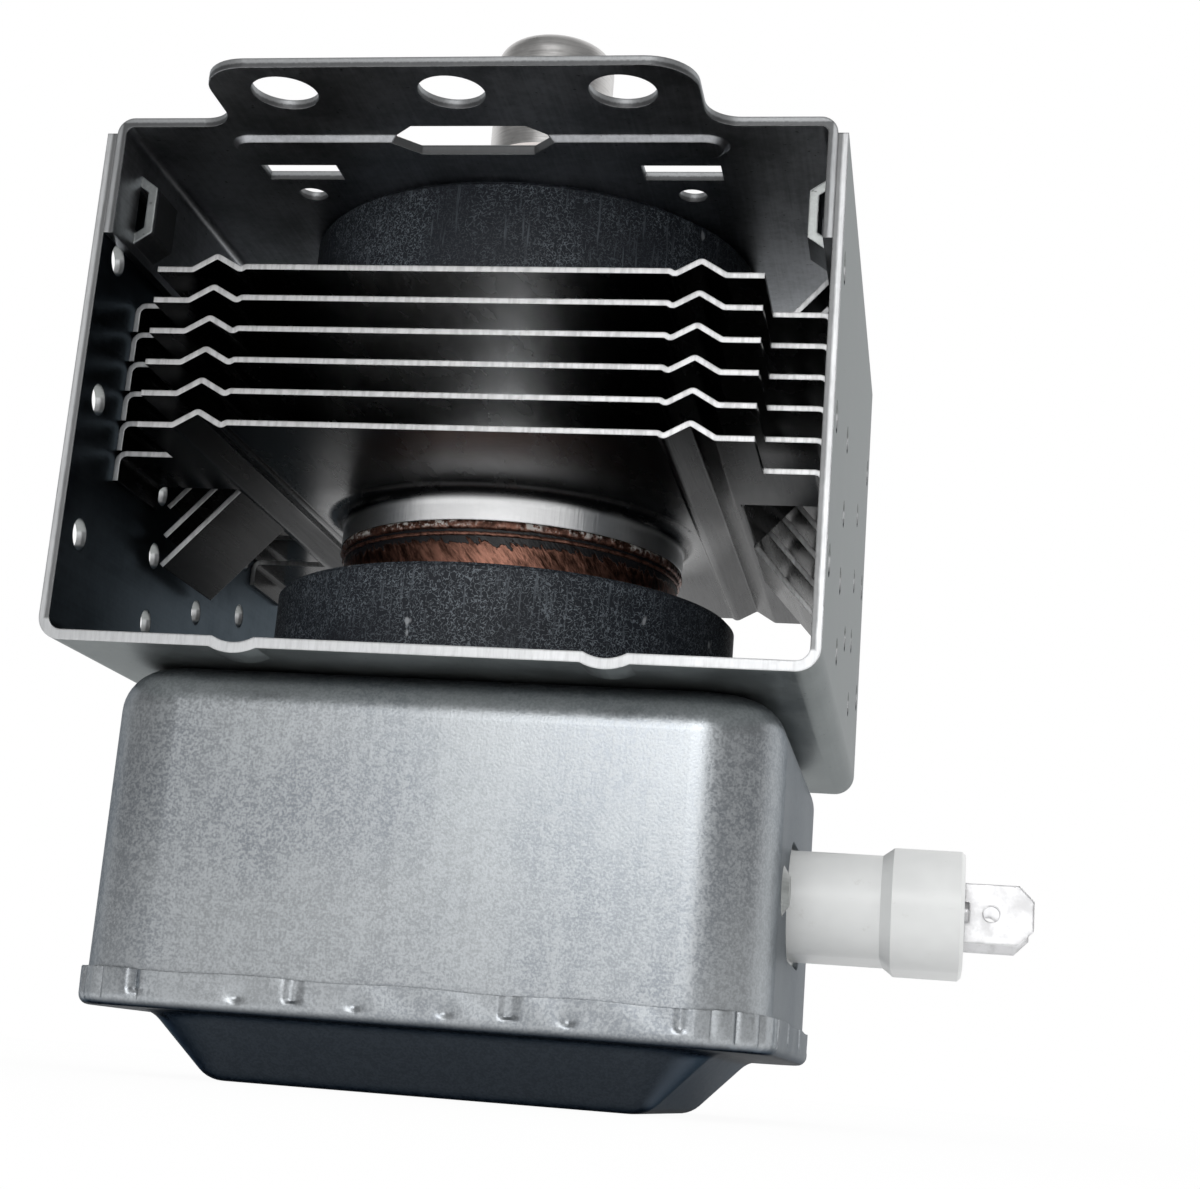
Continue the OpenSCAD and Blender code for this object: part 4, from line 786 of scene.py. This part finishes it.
class StudioSettings(bpy.types.PropertyGroup):
    """The floor, the lamp, the sky and the camera."""

    floor: colour_of("Floor", (0.92, 0.92, 0.92), "Pale studio floor")
    key_power: number_of("Key lamp", 0.8, "Power of the soft lamp behind the camera", min=0.0,
                         subtype="POWER", unit="POWER")
    key_place: place_of("Key lamp's place", (0.015, -0.60, 0.11), "Where the lamp stands")
    key_aim: place_of("Key lamp's aim", (0.0, 0.0, -0.06), "Where the lamp points")
    key_size: vector_of("Key lamp's size", (0.28, 0.20), "Width and height of the lamp", unit="LENGTH")
    sky: number_of("Sky", 1.0, "Level of the light from all round", min=0.0)
    room: number_of("Room", 0.26, "Level that metal sees on the camera's side", min=0.0)
    lens: number_of("Lens", 61.456, "Focal length of the camera", min=1.0, subtype="DISTANCE_CAMERA",
                    unit="CAMERA")
    camera_place: place_of("Camera place", (0.05245, -0.23258, -0.09754), "Where the camera stands")
    camera_turn: vector_of("Camera turn", [math.radians(part) for part in (103.38, -4.406, 9.074)],
                           "Tilt, roll and heading of the camera", subtype="EULER", unit="ROTATION")


class MAGNETRON_OT_yoke(bpy.types.Operator):
    """Finish the folded bracket and the flange plate"""

    bl_idname = "magnetron.yoke"
    bl_label = "Yoke"

    def execute(self, context):
        colours = context.scene.magnetron_metals
        bracket = zinc_sheet("zinc_bracket", colours, colours.inside, colours.cut_edge, BRACKET)
        dress(bracket, "yoke_bracket")
        plate = zinc_sheet("zinc_plate", colours, colours.under, colours.plate_edge, PLATE)
        dress(plate, "yoke_top_plate")
        return {"FINISHED"}


class MAGNETRON_OT_magnets(bpy.types.Operator):
    """Finish the ring magnets and the choke cores"""

    bl_idname = "magnetron.magnets"
    bl_label = "Magnets and cores"

    def execute(self, context):
        material = ferrite("ferrite", context.scene.magnetron_others.ferrite)
        dress(material, "upper_magnet", "lower_magnet", "choke_core_front", "choke_core_rear")
        return {"FINISHED"}


class MAGNETRON_OT_fins(bpy.types.Operator):
    """Finish the cooling fins"""

    bl_idname = "magnetron.fins"
    bl_label = "Cooling fins"

    def execute(self, context):
        dress(fin_sheet("fin_aluminium", context.scene.magnetron_metals), *FINS)
        return {"FINISHED"}


class MAGNETRON_OT_tube(bpy.types.Operator):
    """Finish the anode, the cathode and the sealed ends"""

    bl_idname = "magnetron.tube"
    bl_label = "Vacuum tube"

    def execute(self, context):
        metals = context.scene.magnetron_metals
        dress(torn_copper("torn_copper", metals.copper, metals.coating), "anode_cylinder")
        copper = plain_metal("drawn_copper", metals.copper, 0.22, 0.36)
        dress(copper, "anode_vanes", "strap_rings", "exhaust_tube", "antenna_lead")
        dress(plain_metal("pole_iron", metals.iron, 0.34, 0.5), "upper_pole_piece", "lower_pole_piece")
        dress(plain_metal("seal_alloy", metals.seal, 0.25, 0.4), "upper_seal_cup", "lower_seal_cup")
        tungsten = plain_metal("tungsten", metals.tungsten, 0.35, 0.5)
        dress(tungsten, "filament", "upper_end_hat", "lower_end_hat", "centre_lead", "side_lead")
        ceramic = fired_ceramic("fired_ceramic", context.scene.magnetron_others.ceramic)
        dress(ceramic, "antenna_ceramic", "stem_ceramic")
        dress(plain_metal("cap_steel", metals.cap, 0.26, 0.42), "antenna_cap")
        return {"FINISHED"}


class MAGNETRON_OT_filter(bpy.types.Operator):
    """Finish the filter box and what it holds"""

    bl_idname = "magnetron.filter"
    bl_label = "Filter box"

    def execute(self, context):
        metals = context.scene.magnetron_metals
        others = context.scene.magnetron_others
        dress(spangled_steel("box_spangle", metals.box, metals.box_deep), "filter_box")
        dress(plain_metal("enamelled_wire", metals.enamel, 0.2, 0.3), "choke_coil_front", "choke_coil_rear")
        tin = plain_metal("tinned", metals.tin, 0.30, 0.40, lines=(0.5, 0.5, 0.5), edges=0.35)
        dress(tin, "stem_terminals", "terminal_tab_front", "terminal_tab_rear")
        dress(plain_metal("zinc_ground_plate", metals.zinc), "capacitor_ground_plate")
        dress(plain_metal("rivet_zinc", metals.zinc), "capacitor_rivets")
        case = moulded_plastic("capacitor_case", others.capacitor, shade(others.capacitor, 0.5))
        dress(case, "capacitor_body")
        dress(moulded_plastic("insulator_plastic", others.insulator, others.grime), "terminal_insulator")
        return {"FINISHED"}


class MAGNETRON_OT_lid(bpy.types.Operator):
    """Make the crimped lid of the filter box"""

    bl_idname = "magnetron.lid"
    bl_label = "Crimped lid"

    def execute(self, context):
        metals = context.scene.magnetron_metals
        material = spangled_steel("lid_spangle", metals.box, metals.box_deep, metals.lid)
        surface = lid_surface(context.scene.magnetron_lid)
        grid_piece("crimped_lid", surface, material, "filter_lid")
        dress(material, "filter_lid")
        return {"FINISHED"}


class MAGNETRON_OT_rings(bpy.types.Operator):
    """Make the knitted gasket and the braze round the anode"""

    bl_idname = "magnetron.rings"
    bl_label = "Gasket and braze"

    def execute(self, context):
        metals = context.scene.magnetron_metals
        low, high = (np.array(corner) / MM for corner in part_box("rf_gasket"))
        wire = plain_metal("gasket_wire", metals.gasket, 0.30, 0.45, lines=(2.0, 2.0, 2.0))
        surface = knitted_ring(low, high, GASKET_LOOPS)
        grid_piece("knitted_gasket", surface, wire, "rf_gasket", ring=True)
        dress(wire, "rf_gasket")
        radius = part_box("anode_cylinder")[1].x / MM
        braze = braze_metal("braze", metals.copper, metals.flux)
        for name, sizes in BRAZE_RINGS.items():
            grid_piece(name, braze_bead(radius, *sizes), braze, ring=True)
        return {"FINISHED"}


def floor_finish(colour):
    """Pale floor: what the camera, metal and glass see is lifted towards white, and keeps a soft shadow."""
    skin = Finish("studio_floor")
    skin.done(Base_Color=colour, Roughness=0.9, Specular_IOR_Level=0.1)
    path = skin.node("ShaderNodeLightPath").outputs
    seen = skin.either(*(skin.times(path[kind], share) for kind, share in FLOOR_WHITE.items()))
    white = skin.node("ShaderNodeEmission", {"Color": (1.0, 1.0, 1.0), "Strength": 1.0})
    mixed = skin.node("ShaderNodeMixShader", {0: seen, 1: skin.shader.outputs[0], 2: white.outputs[0]})
    skin.feed(skin.tree.nodes["Material Output"].inputs["Surface"], mixed.outputs[0])
    return skin.material


def studio_floor(settings):
    """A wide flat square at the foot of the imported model."""
    corners = FLOOR_REACH * np.array([[-1.0, -1.0, 0.0], [1.0, -1.0, 0.0], [1.0, 1.0, 0.0], [-1.0, 1.0, 0.0]])
    corners[:, 2] = CAD_BOX[0][2]
    mesh = bpy.data.meshes.new("studio_floor")
    mesh.from_pydata(corners.tolist(), [], [(0, 1, 2, 3)])
    mesh.materials.append(floor_finish(settings.floor))
    floor = bpy.data.objects.new("studio_floor", mesh)
    bpy.context.scene.collection.objects.link(floor)


def key_lamp(settings):
    """A wide area lamp behind the camera, which points at the part."""
    data = bpy.data.lights.new("key_lamp", "AREA")
    data.shape = "RECTANGLE"
    data.size, data.size_y = settings.key_size
    data.energy = settings.key_power
    lamp = bpy.data.objects.new("key_lamp", data)
    bpy.context.scene.collection.objects.link(lamp)
    lamp.location = settings.key_place
    way = Vector(settings.key_aim) - Vector(settings.key_place)
    lamp.rotation_euler = way.to_track_quat("-Z", "Y").to_euler()


def studio_sky(settings):
    """White light from all round: metal sees white behind the part and a dim room on the camera's side."""
    scene = bpy.context.scene
    scene.world = scene.world or bpy.data.worlds.new("studio_sky")
    scene.world.use_nodes = True
    scene.world.node_tree.nodes.clear()
    wiring = Wiring(scene.world.node_tree)
    path = wiring.node("ShaderNodeLightPath").outputs
    way = wiring.node("ShaderNodeTexCoord").outputs["Object"]
    behind = wiring.node("ShaderNodeSeparateXYZ", {"Vector": way}).outputs["Y"]
    mirrored = wiring.ramp(behind, 0.0, 0.6, settings.room, 1.0)
    level = settings.sky
    for kind, seen in (("Is Glossy Ray", mirrored), ("Is Transmission Ray", 1.0), ("Is Camera Ray", 1.0)):
        level = wiring.node("ShaderNodeMix", {0: path[kind], 2: level, 3: seen}).outputs[0]
    sky = wiring.node("ShaderNodeBackground", {"Color": (1.0, 1.0, 1.0), "Strength": level})
    wiring.node("ShaderNodeOutputWorld", {"Surface": sky.outputs[0]})


def photo_camera(settings):
    """A camera at the photograph's view of the part."""
    data = bpy.data.cameras.new("photo_camera")
    data.lens = settings.lens
    data.sensor_fit = "HORIZONTAL"
    data.clip_start, data.clip_end = CAMERA_CLIP
    camera = bpy.data.objects.new("photo_camera", data)
    bpy.context.scene.collection.objects.link(camera)
    camera.location = settings.camera_place
    camera.rotation_euler = settings.camera_turn
    bpy.context.scene.camera = camera


class MAGNETRON_OT_studio(bpy.types.Operator):
    """Make the floor, the lamp, the sky and the camera"""

    bl_idname = "magnetron.studio"
    bl_label = "Studio"

    def execute(self, context):
        settings = context.scene.magnetron_studio
        studio_floor(settings)
        key_lamp(settings)
        studio_sky(settings)
        photo_camera(settings)
        context.scene.view_settings.view_transform = "Standard"
        return {"FINISHED"}


class MAGNETRON_PT_panel(bpy.types.Panel):
    """Lists the magnetron's steps in the sidebar"""

    bl_idname = "MAGNETRON_PT_panel"
    bl_label = "Magnetron"
    bl_space_type = "VIEW_3D"
    bl_region_type = "UI"
    bl_category = "Magnetron"

    def draw(self, context):
        for step in STEPS:
            self.layout.operator(step.bl_idname)


GROUPS = {"magnetron_metals": MetalColours, "magnetron_others": OtherColours, "magnetron_lid": LidShape,
          "magnetron_studio": StudioSettings}
STEPS = (MAGNETRON_OT_yoke, MAGNETRON_OT_magnets, MAGNETRON_OT_fins, MAGNETRON_OT_tube, MAGNETRON_OT_filter,
         MAGNETRON_OT_lid, MAGNETRON_OT_rings, MAGNETRON_OT_studio)
CLASSES = (*GROUPS.values(), *STEPS, MAGNETRON_PT_panel)


def register():
    """Registers the classes and hangs the settings on the scene."""
    for item in CLASSES:
        bpy.utils.register_class(item)
    for name, group in GROUPS.items():
        setattr(bpy.types.Scene, name, bpy.props.PointerProperty(type=group))


def unregister():
    """Takes the settings and the classes away again."""
    for name in GROUPS:
        delattr(bpy.types.Scene, name)
    for item in reversed(CLASSES):
        bpy.utils.unregister_class(item)


def main():
    """Runs every step in order."""
    register()
    for step in STEPS:
        group, name = step.bl_idname.split(".")
        getattr(getattr(bpy.ops, group), name)()


if __name__ == "__main__":
    main()
